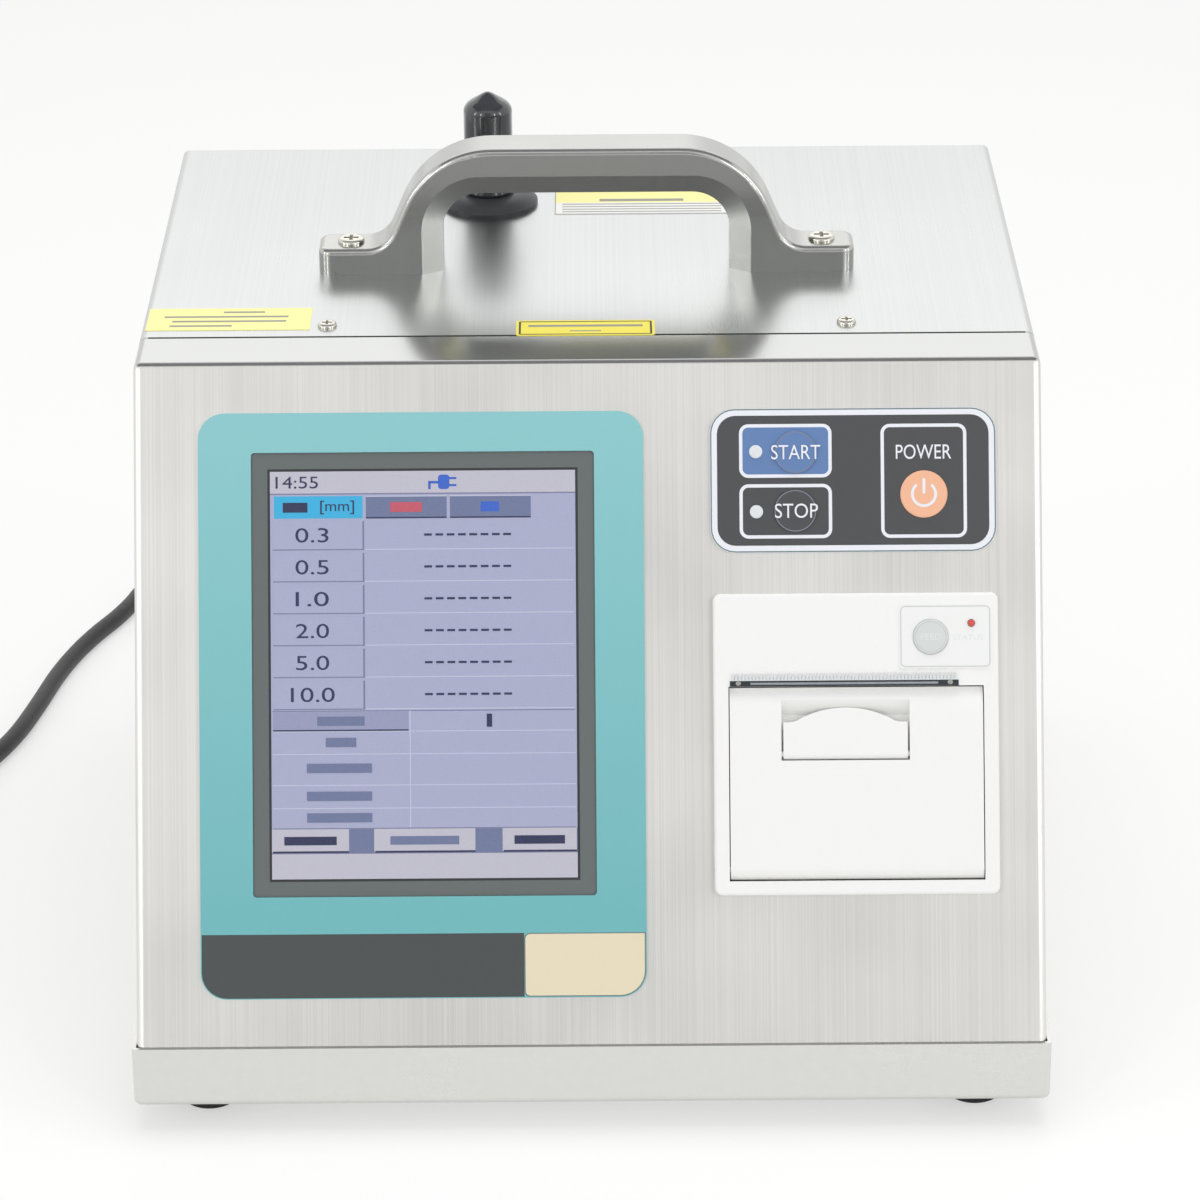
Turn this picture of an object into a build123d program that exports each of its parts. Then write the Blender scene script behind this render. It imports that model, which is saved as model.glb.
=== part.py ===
"""Benchtop airborne particle counter in folded stainless sheet.

Frame: X to the right, Y to the back, Z up, millimetres.  The origin is on the table,
below the centre of the case.  The operating face leans back, so what sits on it is placed
by (u, s, w): u to the right, s down the face from its top bend, w out of the face.
"""
from build123d import *
import os
from math import cos, hypot, pi, radians, sin, tan

os.makedirs("parts", exist_ok=True)

# ------------------------------------------------------------ driving dimensions (mm)
# folded case
tray_width = 260.0
tray_depth = 270.0
tray_wall = 19.0
tray_sheet = 1.2
tray_bend = 2.5
tray_corner = 1.4
foot_height = 8.0
foot_radius = 8.0
foot_inset = 20.0
case_top = 201.0
face_lean = 25.8
panel_sheet = 1.2
panel_return = 19.7
tongue_length = 18.0
cover_sheet = 1.0
case_bend = 2.2
rear_inset = 12.0
nest_fit = 0.1
seam_gap = 0.8
hole_fit = 0.15
key_fit = 0.08
slide_fit = 0.3

# carrying handle
handle_pitch = 140.0
handle_foot_end = 9.5
handle_foot_thick = 7.8
handle_foot_corner = 3.5
handle_depth = 15.5
handle_rise = 38.6
handle_setback = 77.64
handle_leg_foot = 59.9
handle_leg_slope = 23.5
handle_shoulder = 28.5
handle_heel = 8.5
handle_edge = 1.7
grip_half_width = 48.8
grip_height = 30.5
grip_round = 17.5
grip_bevel = 6.3
grip_bevel_depth = 3.8

# screws: shank radius, head radius, head height; the cross slots are parts of the head's radius
m4_shank, m4_head, m4_head_height = 2.0, 4.0, 1.3
m3_shank, m3_head, m3_head_height = 1.5, 2.8, 1.2
cross_reach = 1.1
cross_slot = 0.26
cover_screw_pitch = 150.0
cover_screw_setback = 28.6
rear_screw_heights = (62.0, 158.0)

# sample inlet on the top
inlet_x = -30.0
inlet_setback = 51.0
inlet_flange_radius = 15.0
inlet_rim = 1.2
inlet_dome_radius = 8.0
inlet_dome_height = 4.0
nozzle_radius = 5.2
nozzle_bore = 4.0
nozzle_height = 28.0
cap_foot_radius = 7.65
cap_body_radius = 7.5
cap_height = 36.5
cap_flare = 6.0
cap_dome_low = 29.9
cap_dome_top = 33.9
cap_wall_top = 3.0
cap_tip_radius = 2.6
cap_tip_round = 0.8

# display side of the face
overlay_width = 126.0
overlay_height = 165.7
overlay_round = 7.5
overlay_film = 0.6
overlay_u = -47.3
overlay_top = 14.2
bezel_width = 96.8
bezel_height = 125.4
bezel_u = -46.8
bezel_top = 25.6
touch_glass = 1.4
module_width = 106.0
module_height = 134.0
module_depth = 7.0
board_gap = 8.0
board_width = 118.0
board_height = 150.0
board_thick = 1.6

# membrane keypad
keypad_width = 80.9
keypad_height = 40.8
keypad_round = 7.0
keypad_film = 1.0
keypad_inset = 54.95
keypad_s = 34.3
key_radius = 6.05
start_key = (-16.3, 8.0)
stop_key = (-16.4, -8.6)
power_key = (20.0, -4.1)
power_key_radius = 6.7
key_rise = 0.5
key_travel = 0.6
key_flange = 1.0
lamp_radius = 1.9
start_lamp = (-27.5, 8.2)
stop_lamp = (-27.4, -8.8)
key_board_width = 72.0
key_board_height = 30.0
key_board_depth = 5.4
switch_side = 6.0
switch_height = 2.1

# thermal strip printer
printer_inset = 54.6
printer_s = 108.9
printer_width = 80.6
printer_height = 85.2
printer_rise = 2.5
printer_round = 2.2
bucket_width = 75.6
bucket_height = 80.6
bucket_depth = 46.0
bucket_wall = 1.6
door_width = 71.6
door_top = 92.9
door_skin = 2.0
door_step = 0.2
door_nose = 3.0
door_bottom = 147.2
door_crown = 100.0
door_lip_back = 1.7
hinge_pin_radius = 1.2
door_skirt = 1.8
lever_width = 35.1
lever_u = -3.1
lever_shoulder = 102.7
lever_arch_top = 98.6
lever_arch_width = 29.0
lever_bottom = 113.2
lever_plate = 1.8
lever_nose = 1.5
lever_pin_radius = 0.8
scoop_top = 95.7
scoop_floor = -1.0
scoop_wall = 1.2
platen_radius = 4.5
platen_length = 60.0
platen_s = 97.6
platen_w = -7.0
platen_shaft_radius = 1.5
platen_gear_radius = 4.1
platen_gear_teeth = 16
head_gap = 0.5
head_thick = 4.0
head_depth = 11.0
paper_roll_radius = 18.5
paper_roll_width = 57.5
paper_core_radius = 6.5
tear_width = 64.6
tear_u = -3.4
tear_tip = 88.8
tear_root = 90.9
tear_edge = 92.3
tear_pitch = 1.0
tear_plate = 0.6
feed_shift = 21.1
feed_s = 78.8
feed_radius = 4.95
feed_rise = 0.6
feed_travel = 0.8
feed_label_width = 26.1
feed_label_height = 18.0
feed_label_shift = 25.25
feed_label_s = 78.7
feed_label_film = 0.3
feed_lamp_shift = 32.6
feed_lamp_s = 75.0
feed_lamp_radius = 0.95
feed_board_depth = 6.0

# inside
sensor_width = 64.0
sensor_depth = 56.0
sensor_height = 44.0
sensor_top = 152.0
bracket_width = 134.0
bracket_depth = 56.0
bracket_sheet = 2.0
bracket_foot = 12.0
laser_radius = 11.0
laser_length = 30.0
laser_flange = 30.0
laser_flange_thick = 4.0
laser_ring_pitch = 5.0
detector_width = 42.0
detector_height = 38.0
detector_standoff = 3.0
detector_edge = 8.0
chip_long, chip_short, chip_thick = 9.0, 6.0, 2.5
supply_x = -16.0
supply_width = 96.0
supply_depth = 62.0
transformer_width, transformer_depth, transformer_height = 26.0, 30.0, 24.0
capacitor_radius, capacitor_height = 9.0, 27.0
sink_height, sink_depth, sink_fin, sink_pitch = 22.0, 24.0, 1.6, 4.0
standoff_height = 6.0
standoff_radius = 2.6
pump_x = 79.0
pump_setback = 103.7
pump_mount_height = 8.0
pump_base_width = 46.0
pump_base_depth = 66.0
pump_motor_radius = 14.0
pump_plate = 2.0
pump_head_width, pump_head_depth, pump_head_round = 34.0, 30.0, 3.0
pump_head_shift = 14.0
pump_nipple_pitch = 18.0
hose_radius = 3.6
hose_bend = 12.0
nipple_radius = 2.4
exhaust_x = pump_x + pump_nipple_pitch / 2
exhaust_z = 120.0
filter_radius = 18.0
filter_length = 40.0
exhaust_spigot_radius = 4.0
exhaust_spigot_length = 8.0
exhaust_flange_radius = 12.0

# rear connectors
supply_inlet_x = -80.0
supply_inlet_z = 45.0
inlet_body_width = 27.6
inlet_body_height = 20.0
inlet_body_depth = 19.0
inlet_lip = 1.8
socket_width = 24.4
socket_height = 16.6
socket_depth = 16.0
serial_x = -20.0
serial_z = 45.0

# mains lead
lead_radius = 3.0
lead_start_y = 178.0
relief_length = 26.0
coil_x = -252.0
coil_y = 58.0
coil_inner = 20.0
coil_outer = 47.0
coil_layers = 2
plug_length = 36.0
plug_relief_length = 22.0

# ------------------------------------------------------------ sizes that follow
tray_floor = foot_height + tray_sheet
tray_rim = foot_height + tray_wall
half_body = tray_width / 2 - tray_sheet - nest_fit
body_front = -(tray_depth / 2 - tray_sheet - nest_fit)
body_rear = -body_front
face_run = (case_top - tray_rim) * tan(radians(face_lean))
face_top_y = body_front + face_run
cover_under = case_top - cover_sheet
m3_sunk_head = m3_shank + cover_sheet
rear_face = body_rear - rear_inset
cover_screw_y = face_top_y + cover_screw_setback
handle_y = face_top_y + handle_setback
handle_half = handle_pitch / 2 + handle_foot_end
inlet_y = body_rear - inlet_setback
pump_y = body_rear - pump_setback
keypad_u = tray_width / 2 - keypad_inset
printer_u = tray_width / 2 - printer_inset
feed_u = printer_u + feed_shift
feed_label_u = printer_u + feed_label_shift
feed_lamp_u = printer_u + feed_lamp_shift
bench_foot_x = tray_width / 2 - foot_inset
bench_foot_y = tray_depth / 2 - foot_inset

FACE = Plane(
    origin=(0, face_top_y, case_top),
    x_dir=(1, 0, 0),
    z_dir=(0, -cos(radians(face_lean)), sin(radians(face_lean))),
)


def on_face(u, s, w=0.0):
    """Plane parallel to the face, its origin u to the right, s down and w out of it."""
    return Plane(FACE.from_local_coords(Vector(u, -s, w)), x_dir=FACE.x_dir, z_dir=FACE.z_dir)


def across_face(u):
    """Plane square to the face at u; its own coordinates are (w, -s)."""
    return Plane(FACE.from_local_coords(Vector(u, 0, 0)), x_dir=FACE.z_dir, z_dir=(-1, 0, 0))


def on_side(side, height):
    """Plane on the left (-1) or right (1) side wall, at the rear panel's screws."""
    return Plane((side * half_body, body_rear - rear_inset / 2, height), z_dir=(side, 0, 0))


def facing_back(x, y, z):
    """Plane that faces the rear; its own coordinates are (-x, z)."""
    return Plane((x, y, z), x_dir=(-1, 0, 0), z_dir=(0, 1, 0))


def save(piece, name):
    """Label a finished piece and write its STEP file."""
    piece.part.label = name
    export_step(piece.part, f"parts/{name}.step")


keypad_holes = (
    (start_key, key_radius),
    (stop_key, key_radius),
    (power_key, power_key_radius),
)
lamp_places = (start_lamp, stop_lamp)

# ------------------------------------------------------------ base tray and feet
with BuildPart() as base_tray:
    with BuildSketch(Plane.XY.offset(foot_height)):
        Rectangle(tray_width, tray_depth)
    extrude(amount=tray_wall)
    fillet(base_tray.edges().filter_by(Axis.Z), tray_corner)
    fillet(base_tray.edges().group_by(Axis.Z)[0], tray_bend)
    with BuildSketch(Plane.XY.offset(tray_floor)):
        Rectangle(tray_width - 2 * tray_sheet, tray_depth - 2 * tray_sheet)
    extrude(amount=tray_wall, mode=Mode.SUBTRACT)
    with BuildSketch(Plane.XY.offset(foot_height)):
        with GridLocations(2 * bench_foot_x, 2 * bench_foot_y, 2, 2):
            Circle(m4_shank + hole_fit)
        # cooling slots below the power supply
        with Locations((supply_x, inlet_y)):
            with GridLocations(9.0, 0, 8, 1):
                SlotOverall(34.0, 3.2, rotation=90)
    extrude(amount=tray_wall / 2, mode=Mode.SUBTRACT)
save(base_tray, "base_tray")

with BuildPart() as feet:
    with BuildSketch():
        with GridLocations(2 * bench_foot_x, 2 * bench_foot_y, 2, 2):
            Circle(foot_radius)
    extrude(amount=foot_height, taper=-7)
    fillet(feet.edges().group_by(Axis.Z)[0], 1.0)
    with BuildSketch():
        with GridLocations(2 * bench_foot_x, 2 * bench_foot_y, 2, 2):
            Circle(m4_head + 3 * hole_fit)
    extrude(amount=foot_height / 2, mode=Mode.SUBTRACT)
    with BuildSketch():
        with GridLocations(2 * bench_foot_x, 2 * bench_foot_y, 2, 2):
            Circle(m4_shank + hole_fit)
    extrude(amount=foot_height, mode=Mode.SUBTRACT)
save(feet, "feet")

with BuildPart() as foot_screws:
    with BuildSketch(Plane.XY.offset(foot_height / 2 - m4_head_height)):
        with GridLocations(2 * bench_foot_x, 2 * bench_foot_y, 2, 2):
            Circle(m4_head)
    extrude(amount=m4_head_height)
    with BuildSketch(Plane.XY.offset(foot_height / 2)):
        with GridLocations(2 * bench_foot_x, 2 * bench_foot_y, 2, 2):
            Circle(m4_shank)
    extrude(amount=tray_floor + m4_head_height - foot_height / 2)
save(foot_screws, "foot_screws")

# ------------------------------------------------------------ front panel
# One folded pan: leaning face, upright foot flange, top return and two side returns.
panel_low = tray_floor + nest_fit
lean = radians(face_lean)
inner_setback = panel_sheet / cos(lean)
inner_knee = tray_rim - (inner_setback - panel_sheet) / tan(lean)
inner_top_y = face_top_y + inner_setback - panel_sheet * tan(lean)
tongue_top = cover_under - nest_fit
face_normal = Axis((0, 0, 0), (0, -cos(lean), sin(lean)))
keypad_place = on_face(keypad_u, keypad_s)
display_place = on_face(bezel_u, bezel_top + bezel_height / 2)
printer_place = on_face(printer_u, printer_s)

with BuildPart() as front_panel:
    with BuildSketch(Plane.YZ):
        with BuildLine():
            Polyline(
                (body_front, panel_low),
                (body_front, tray_rim),
                (face_top_y, case_top),
                (face_top_y + panel_return, case_top),
                (body_front + panel_return, tray_rim),
                (body_front + panel_return, panel_low),
                close=True,
            )
        make_face()
    extrude(amount=half_body, both=True)
    front_rims = front_panel.faces().sort_by(face_normal)[-1].edges().filter_by(Axis.X, reverse=True)
    foot_rims = front_panel.faces().sort_by(Axis.Y)[0].edges().filter_by(Axis.Z)
    top_rims = front_panel.faces().sort_by(Axis.Z)[-1].edges().filter_by(Axis.Y)
    top_bend = front_panel.faces().sort_by(Axis.Z)[-1].edges().filter_by(Axis.X).sort_by(Axis.Y)[0]
    fillet([*front_rims, *foot_rims, *top_rims, top_bend], case_bend)
    with BuildSketch(Plane.YZ):
        with BuildLine():
            Polyline(
                (body_front + panel_sheet, 0),
                (body_front + panel_sheet, inner_knee),
                (inner_top_y, case_top - panel_sheet),
                (face_top_y + 2 * panel_return, case_top - panel_sheet),
                (body_front + 2 * panel_return, 0),
                close=True,
            )
        make_face()
    extrude(amount=half_body - panel_sheet, both=True, mode=Mode.SUBTRACT)
    # tongue that the top cover laps over
    with BuildSketch(Plane.XY.offset(tongue_top - panel_sheet)):
        with Locations((0, face_top_y + panel_return + tongue_length / 2 - panel_sheet)):
            Rectangle(2 * (half_body - 4 * case_bend), tongue_length + 2 * panel_sheet)
        with Locations((0, cover_screw_y)):
            with GridLocations(cover_screw_pitch, 0, 2, 1):
                Circle(m3_shank + hole_fit, mode=Mode.SUBTRACT)
    extrude(amount=panel_sheet)
    # windows in the face
    with BuildSketch(display_place):
        RectangleRounded(bezel_width + 2 * slide_fit, bezel_height + 2 * slide_fit, panel_sheet)
    with BuildSketch(printer_place):
        Rectangle(bucket_width + slide_fit, bucket_height + slide_fit)
    with BuildSketch(keypad_place):
        for place, radius in keypad_holes:
            with Locations(place):
                Circle(radius + key_flange + slide_fit)
        with Locations(*lamp_places):
            Circle(lamp_radius + slide_fit)
    extrude(amount=-2 * panel_sheet, mode=Mode.SUBTRACT)
save(front_panel, "front_panel")

# ------------------------------------------------------------ top cover
with BuildPart() as top_cover:
    with BuildSketch(Plane.YZ):
        with BuildLine():
            Polyline(
                (face_top_y + panel_return + seam_gap, case_top),
                (body_rear, case_top),
                (body_rear, panel_low),
                (body_front + panel_return + seam_gap, panel_low),
                (body_front + panel_return + seam_gap, tray_rim),
                close=True,
            )
        make_face()
    extrude(amount=half_body, both=True)
    fillet(top_cover.faces().sort_by(Axis.Z)[-1].edges().filter_by(Axis.Y), case_bend)
    with BuildSketch(Plane.XZ):
        with BuildLine():
            FilletPolyline(
                (half_body - cover_sheet, 0),
                (half_body - cover_sheet, cover_under),
                (cover_sheet - half_body, cover_under),
                (cover_sheet - half_body, 0),
                radius=case_bend - cover_sheet,
            )
            Line((half_body - cover_sheet, 0), (cover_sheet - half_body, 0))
        make_face()
    extrude(amount=tray_depth, both=True, mode=Mode.SUBTRACT)
    with BuildSketch(Plane.XY.offset(case_top)):
        with Locations((0, cover_screw_y)):
            with GridLocations(cover_screw_pitch, 0, 2, 1):
                Circle(m3_shank + hole_fit)
        with Locations((0, handle_y)):
            with GridLocations(handle_pitch, 0, 2, 1):
                Circle(m4_shank + hole_fit)
        with Locations((inlet_x, inlet_y)):
            Circle(nozzle_radius + hole_fit)
    extrude(amount=-2 * cover_sheet, mode=Mode.SUBTRACT)
    # countersinks for the rear panel's screws
    for side in (-1, 1):
        for height in rear_screw_heights:
            with Locations(on_side(side, height)):
                CounterSinkHole(m3_shank + hole_fit, m3_sunk_head + hole_fit, depth=2 * cover_sheet)
save(top_cover, "top_cover")

with BuildPart() as cover_screws:
    with BuildSketch(Plane.XY.offset(case_top)):
        with Locations((0, cover_screw_y)):
            with GridLocations(cover_screw_pitch, 0, 2, 1):
                Circle(m3_head)
    extrude(amount=m3_head_height)
    fillet(cover_screws.edges().group_by(Axis.Z)[-1], 0.75 * m3_head_height)
    with BuildSketch(Plane.XY.offset(case_top + m3_head_height)):
        with Locations((0, cover_screw_y)):
            with GridLocations(cover_screw_pitch, 0, 2, 1):
                Rectangle(cross_reach * m3_head, cross_slot * m3_head)
                Rectangle(cross_slot * m3_head, cross_reach * m3_head)
    extrude(amount=-0.75 * m3_head_height, mode=Mode.SUBTRACT)
    with BuildSketch(Plane.XY.offset(case_top)):
        with Locations((0, cover_screw_y)):
            with GridLocations(cover_screw_pitch, 0, 2, 1):
                Circle(m3_shank)
    extrude(amount=-3 * m3_head_height)
save(cover_screws, "cover_screws")

# ------------------------------------------------------------ rear panel
exhaust_place = facing_back(exhaust_x, rear_face, exhaust_z)
supply_place = facing_back(supply_inlet_x, rear_face, supply_inlet_z)
serial_place = facing_back(serial_x, rear_face, serial_z)
rear_half = half_body - cover_sheet - nest_fit
serial_width, serial_height, serial_pitch = 17.0, 8.6, 25.0
louvre_count, louvre_pitch, louvre_slot, louvre_height = 12, 7.0, 2.6, 34.0
louvre_x, louvre_z = -60.0, 150.0

rear_rise = cover_under - nest_fit - panel_low
with BuildPart() as rear_panel:
    with BuildSketch(facing_back(0, body_rear, panel_low + rear_rise / 2)):
        Rectangle(2 * rear_half, rear_rise)
    extrude(amount=-(rear_inset + panel_sheet))
    fillet(rear_panel.edges().filter_by(Axis.Y).group_by(Axis.Z)[-1], case_bend - cover_sheet)
    with BuildSketch(facing_back(0, body_rear, panel_low + rear_rise / 2)):
        Rectangle(2 * (rear_half - panel_sheet), rear_rise - 2 * panel_sheet)
    extrude(amount=-rear_inset, mode=Mode.SUBTRACT)
    with BuildSketch(facing_back(0, rear_face, 0)):
        with Locations((-exhaust_x, exhaust_z)):
            Circle(nipple_radius + 2 * slide_fit + bucket_wall)
        with Locations((-supply_inlet_x, supply_inlet_z)):
            Rectangle(inlet_body_width + hole_fit, inlet_body_height + hole_fit)
        with Locations((-serial_x, serial_z)):
            Rectangle(serial_width + 2.0, serial_height + 2.0)
        with Locations((-louvre_x, louvre_z)):
            with GridLocations(louvre_pitch, 0, louvre_count, 1):
                SlotOverall(louvre_height, louvre_slot, rotation=90)
    extrude(amount=-2 * panel_sheet, mode=Mode.SUBTRACT)
    for side in (-1, 1):
        for height in rear_screw_heights:
            with Locations(Plane((side * half_body, body_rear - rear_inset / 2, height), z_dir=(side, 0, 0))):
                Hole(m3_shank + hole_fit, depth=4 * cover_sheet)
save(rear_panel, "rear_panel")

with BuildPart() as rear_screws:
    for side in (-1, 1):
        for height in rear_screw_heights:
            with BuildSketch(on_side(side, height)):
                Circle(m3_sunk_head)
            extrude(amount=-(m3_sunk_head - m3_shank), taper=45)
            with BuildSketch(on_side(side, height)):
                Circle(m3_shank)
            extrude(amount=-5 * cover_sheet)
            with BuildSketch(on_side(side, height)):
                Rectangle(cross_reach * m3_sunk_head, cross_slot * m3_sunk_head)
                Rectangle(cross_slot * m3_sunk_head, cross_reach * m3_sunk_head)
            extrude(amount=-cover_sheet, mode=Mode.SUBTRACT)
save(rear_screws, "rear_screws")

# ------------------------------------------------------------ carrying handle
# Cast in one: flat feet, sloping legs and a level grip, with a wide bevel round the finger gap.
handle_foot_top = case_top + handle_foot_thick
shoulder_x = handle_leg_foot - (handle_rise - handle_foot_thick) * tan(radians(handle_leg_slope))


def handle_section(y):
    """Upright plane along the handle at depth y, facing the front."""
    return Plane((0, y, case_top), x_dir=(1, 0, 0), z_dir=(0, -1, 0))


def finger_gap(inset):
    """Flat shape of the finger gap pulled in by inset, open below the feet."""
    half = grip_half_width - inset
    with BuildSketch() as gap:
        with BuildLine():
            FilletPolyline(
                (-half, -1),
                (-half, grip_height - inset),
                (half, grip_height - inset),
                (half, -1),
                radius=grip_round - inset,
            )
            Line((half, -1), (-half, -1))
        make_face()
    return gap.sketch


wide_gap = finger_gap(0)
narrow_gap = finger_gap(grip_bevel)

with BuildPart() as handle:
    with BuildSketch(handle_section(handle_y)):
        with BuildLine():
            FilletPolyline(
                (-handle_half, 0),
                (-handle_half, handle_foot_thick),
                (-handle_leg_foot, handle_foot_thick),
                (-shoulder_x, handle_rise),
                (shoulder_x, handle_rise),
                (handle_leg_foot, handle_foot_thick),
                (handle_half, handle_foot_thick),
                (handle_half, 0),
                radius=[0, handle_heel, handle_shoulder, handle_shoulder, handle_heel, 0],
            )
            Line((handle_half, 0), (-handle_half, 0))
        make_face()
    extrude(amount=handle_depth / 2, both=True)
    fillet(handle.edges().filter_by(Axis.Z), handle_foot_corner)
    outer_face = handle.faces().filter_by(Axis.Y)
    fillet(outer_face.edges().filter_by(lambda edge: edge.center().Z > case_top + 0.01), handle_edge)
    with BuildSketch(handle_section(handle_y)):
        add(narrow_gap)
    extrude(amount=handle_depth, both=True, mode=Mode.SUBTRACT)
    for face_y in (handle_y - handle_depth / 2, handle_y + handle_depth / 2):
        inward = grip_bevel_depth if face_y < handle_y else -grip_bevel_depth
        with BuildSketch(handle_section(face_y)):
            add(wide_gap)
        with BuildSketch(handle_section(face_y + inward)):
            add(narrow_gap)
        loft(mode=Mode.SUBTRACT)
    with BuildSketch(Plane.XY.offset(case_top)):
        with Locations((0, handle_y)):
            with GridLocations(handle_pitch, 0, 2, 1):
                Circle(m4_shank + hole_fit)
    extrude(amount=handle_foot_thick, mode=Mode.SUBTRACT)
save(handle, "handle")

with BuildPart() as handle_screws:
    with BuildSketch(Plane.XY.offset(handle_foot_top)):
        with Locations((0, handle_y)):
            with GridLocations(handle_pitch, 0, 2, 1):
                Circle(m4_head)
    extrude(amount=m4_head_height)
    fillet(handle_screws.edges().group_by(Axis.Z)[-1], 0.8 * m4_head_height)
    with BuildSketch(Plane.XY.offset(handle_foot_top)):
        with Locations((0, handle_y)):
            with GridLocations(handle_pitch, 0, 2, 1):
                Circle(m4_shank)
    extrude(amount=-handle_foot_thick - 2 * m4_shank)
    with BuildSketch(Plane.XY.offset(handle_foot_top + m4_head_height)):
        with Locations((0, handle_y)):
            with GridLocations(handle_pitch, 0, 2, 1):
                Rectangle(cross_reach * m4_head, cross_slot * m4_head)
                Rectangle(cross_slot * m4_head, cross_reach * m4_head)
    extrude(amount=-0.75 * m4_head_height, mode=Mode.SUBTRACT)
save(handle_screws, "handle_screws")

# ------------------------------------------------------------ sample inlet
inlet_axis = Plane((inlet_x, inlet_y, case_top), x_dir=(1, 0, 0), z_dir=(0, -1, 0))
nozzle_foot = sensor_top - case_top
flange_bore = nozzle_radius + hole_fit
cap_bore = nozzle_radius + key_fit
inlet_line = Axis((inlet_x, inlet_y, 0), (0, 0, 1))

with BuildPart() as inlet_flange:
    with BuildSketch(inlet_axis):
        with BuildLine():
            Polyline(
                (inlet_dome_radius, inlet_dome_height),
                (flange_bore, inlet_dome_height),
                (flange_bore, 0),
                (inlet_flange_radius, 0),
                (inlet_flange_radius, inlet_rim),
            )
            ThreePointArc(
                (inlet_flange_radius, inlet_rim),
                (
                    (inlet_flange_radius + inlet_dome_radius) / 2 + 0.5,
                    (inlet_rim + inlet_dome_height) / 2 + 0.8,
                ),
                (inlet_dome_radius, inlet_dome_height),
            )
        make_face()
    revolve(axis=inlet_line)
save(inlet_flange, "inlet_flange")

with BuildPart() as inlet_nozzle:
    with BuildSketch(inlet_axis):
        with BuildLine():
            Polyline(
                (nozzle_bore, nozzle_foot),
                (nozzle_bore, nozzle_height),
                (nozzle_radius - 0.4, nozzle_height),
                (nozzle_radius, nozzle_height - 0.8),
                (nozzle_radius, nozzle_foot),
                close=True,
            )
        make_face()
    revolve(axis=inlet_line)
save(inlet_nozzle, "inlet_nozzle")

cap_bore_end = cap_dome_top - cap_wall_top
with BuildPart() as inlet_cap:
    with BuildSketch(inlet_axis):
        with BuildLine():
            Polyline(
                (0, cap_height),
                (0, cap_bore_end),
                (cap_bore, cap_bore_end),
                (cap_bore, inlet_dome_height),
                (cap_foot_radius, inlet_dome_height),
                (cap_body_radius, inlet_dome_height + cap_flare),
                (cap_body_radius, cap_dome_low),
            )
            TangentArc(
                (cap_body_radius, cap_dome_low),
                (cap_tip_radius, cap_dome_top),
                tangent=(0, 1),
            )
            Line((cap_tip_radius, cap_dome_top), (cap_tip_round, cap_height - cap_tip_round / 2))
            TangentArc(
                (0, cap_height),
                (cap_tip_round, cap_height - cap_tip_round / 2),
                tangent=(1, 0),
            )
        make_face()
    revolve(axis=inlet_line)
save(inlet_cap, "inlet_cap")

# ------------------------------------------------------------ display
overlay_s = overlay_top + overlay_height / 2
overlay_place = on_face(overlay_u, overlay_s)
display_shift = (bezel_u - overlay_u, overlay_s - bezel_top - bezel_height / 2)
module_back = panel_sheet + module_depth
board_front = module_back + board_gap
board_s = bezel_top + bezel_height / 2 + 6.0

with BuildPart() as display_overlay:
    with BuildSketch(overlay_place):
        RectangleRounded(overlay_width, overlay_height, overlay_round)
        with Locations(display_shift):
            RectangleRounded(bezel_width + 2 * hole_fit, bezel_height + 2 * hole_fit, 1.0, mode=Mode.SUBTRACT)
    extrude(amount=overlay_film)
save(display_overlay, "display_overlay")

with BuildPart() as touch_panel:
    with BuildSketch(display_place.offset(-panel_sheet)):
        RectangleRounded(bezel_width, bezel_height, 1.0)
    extrude(amount=touch_glass)
save(touch_panel, "touch_panel")

with BuildPart() as display_module:
    with BuildSketch(display_place.offset(-panel_sheet)):
        RectangleRounded(module_width, module_height, 1.5)
    extrude(amount=-module_depth)
    # standoffs that carry the main board
    with BuildSketch(display_place.offset(-module_back)):
        with GridLocations(module_width - 12, module_height - 12, 2, 2):
            Circle(standoff_radius)
    extrude(amount=-board_gap)
save(display_module, "display_module")

with BuildPart() as main_board:
    with BuildSketch(on_face(bezel_u, board_s, -board_front)):
        Rectangle(board_width, board_height)
    extrude(amount=-board_thick)
    # processor, memory and converter packages on the open side
    with BuildSketch(on_face(bezel_u, board_s, -board_front - board_thick)):
        with Locations((-20, 20)):
            Rectangle(28, 28)
        with Locations((22, 34)):
            with GridLocations(0, 18, 1, 3):
                Rectangle(20, 12)
        with Locations((-22, -30)):
            with GridLocations(22, 16, 2, 2):
                Rectangle(14, 9)
    extrude(amount=-2.2)
    # connector shrouds along the lower edge
    with BuildSketch(on_face(bezel_u, board_s, -board_front - board_thick)):
        with Locations((20, -board_height / 2 + 8)):
            with GridLocations(24, 0, 3, 1):
                Rectangle(18, 8)
    extrude(amount=-9.0)
save(main_board, "main_board")

# ------------------------------------------------------------ membrane keypad
key_board_front = key_board_depth
stem_end = key_board_depth - switch_height - key_travel - 2 * hole_fit
with BuildPart() as keypad_overlay:
    with BuildSketch(keypad_place):
        RectangleRounded(keypad_width, keypad_height, keypad_round)
        for place, radius in keypad_holes:
            with Locations(place):
                Circle(radius + key_fit, mode=Mode.SUBTRACT)
        with Locations(*lamp_places):
            Circle(lamp_radius + hole_fit, mode=Mode.SUBTRACT)
    extrude(amount=keypad_film)
save(keypad_overlay, "keypad_overlay")


def push_key(place, radius, film, rise, stem):
    """Round key on its plane: domed top, retaining flange below the film, stem to its switch."""
    with BuildPart() as key:
        with BuildSketch(place):
            Circle(radius)
        extrude(amount=film + rise)
        fillet(key.edges().sort_by(face_normal)[-1], rise * 0.9)
        with BuildSketch(place):
            Circle(radius + key_flange)
        extrude(amount=-key_flange)
        with BuildSketch(place):
            Circle(switch_side / 3)
        extrude(amount=-stem)
    return key


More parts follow.
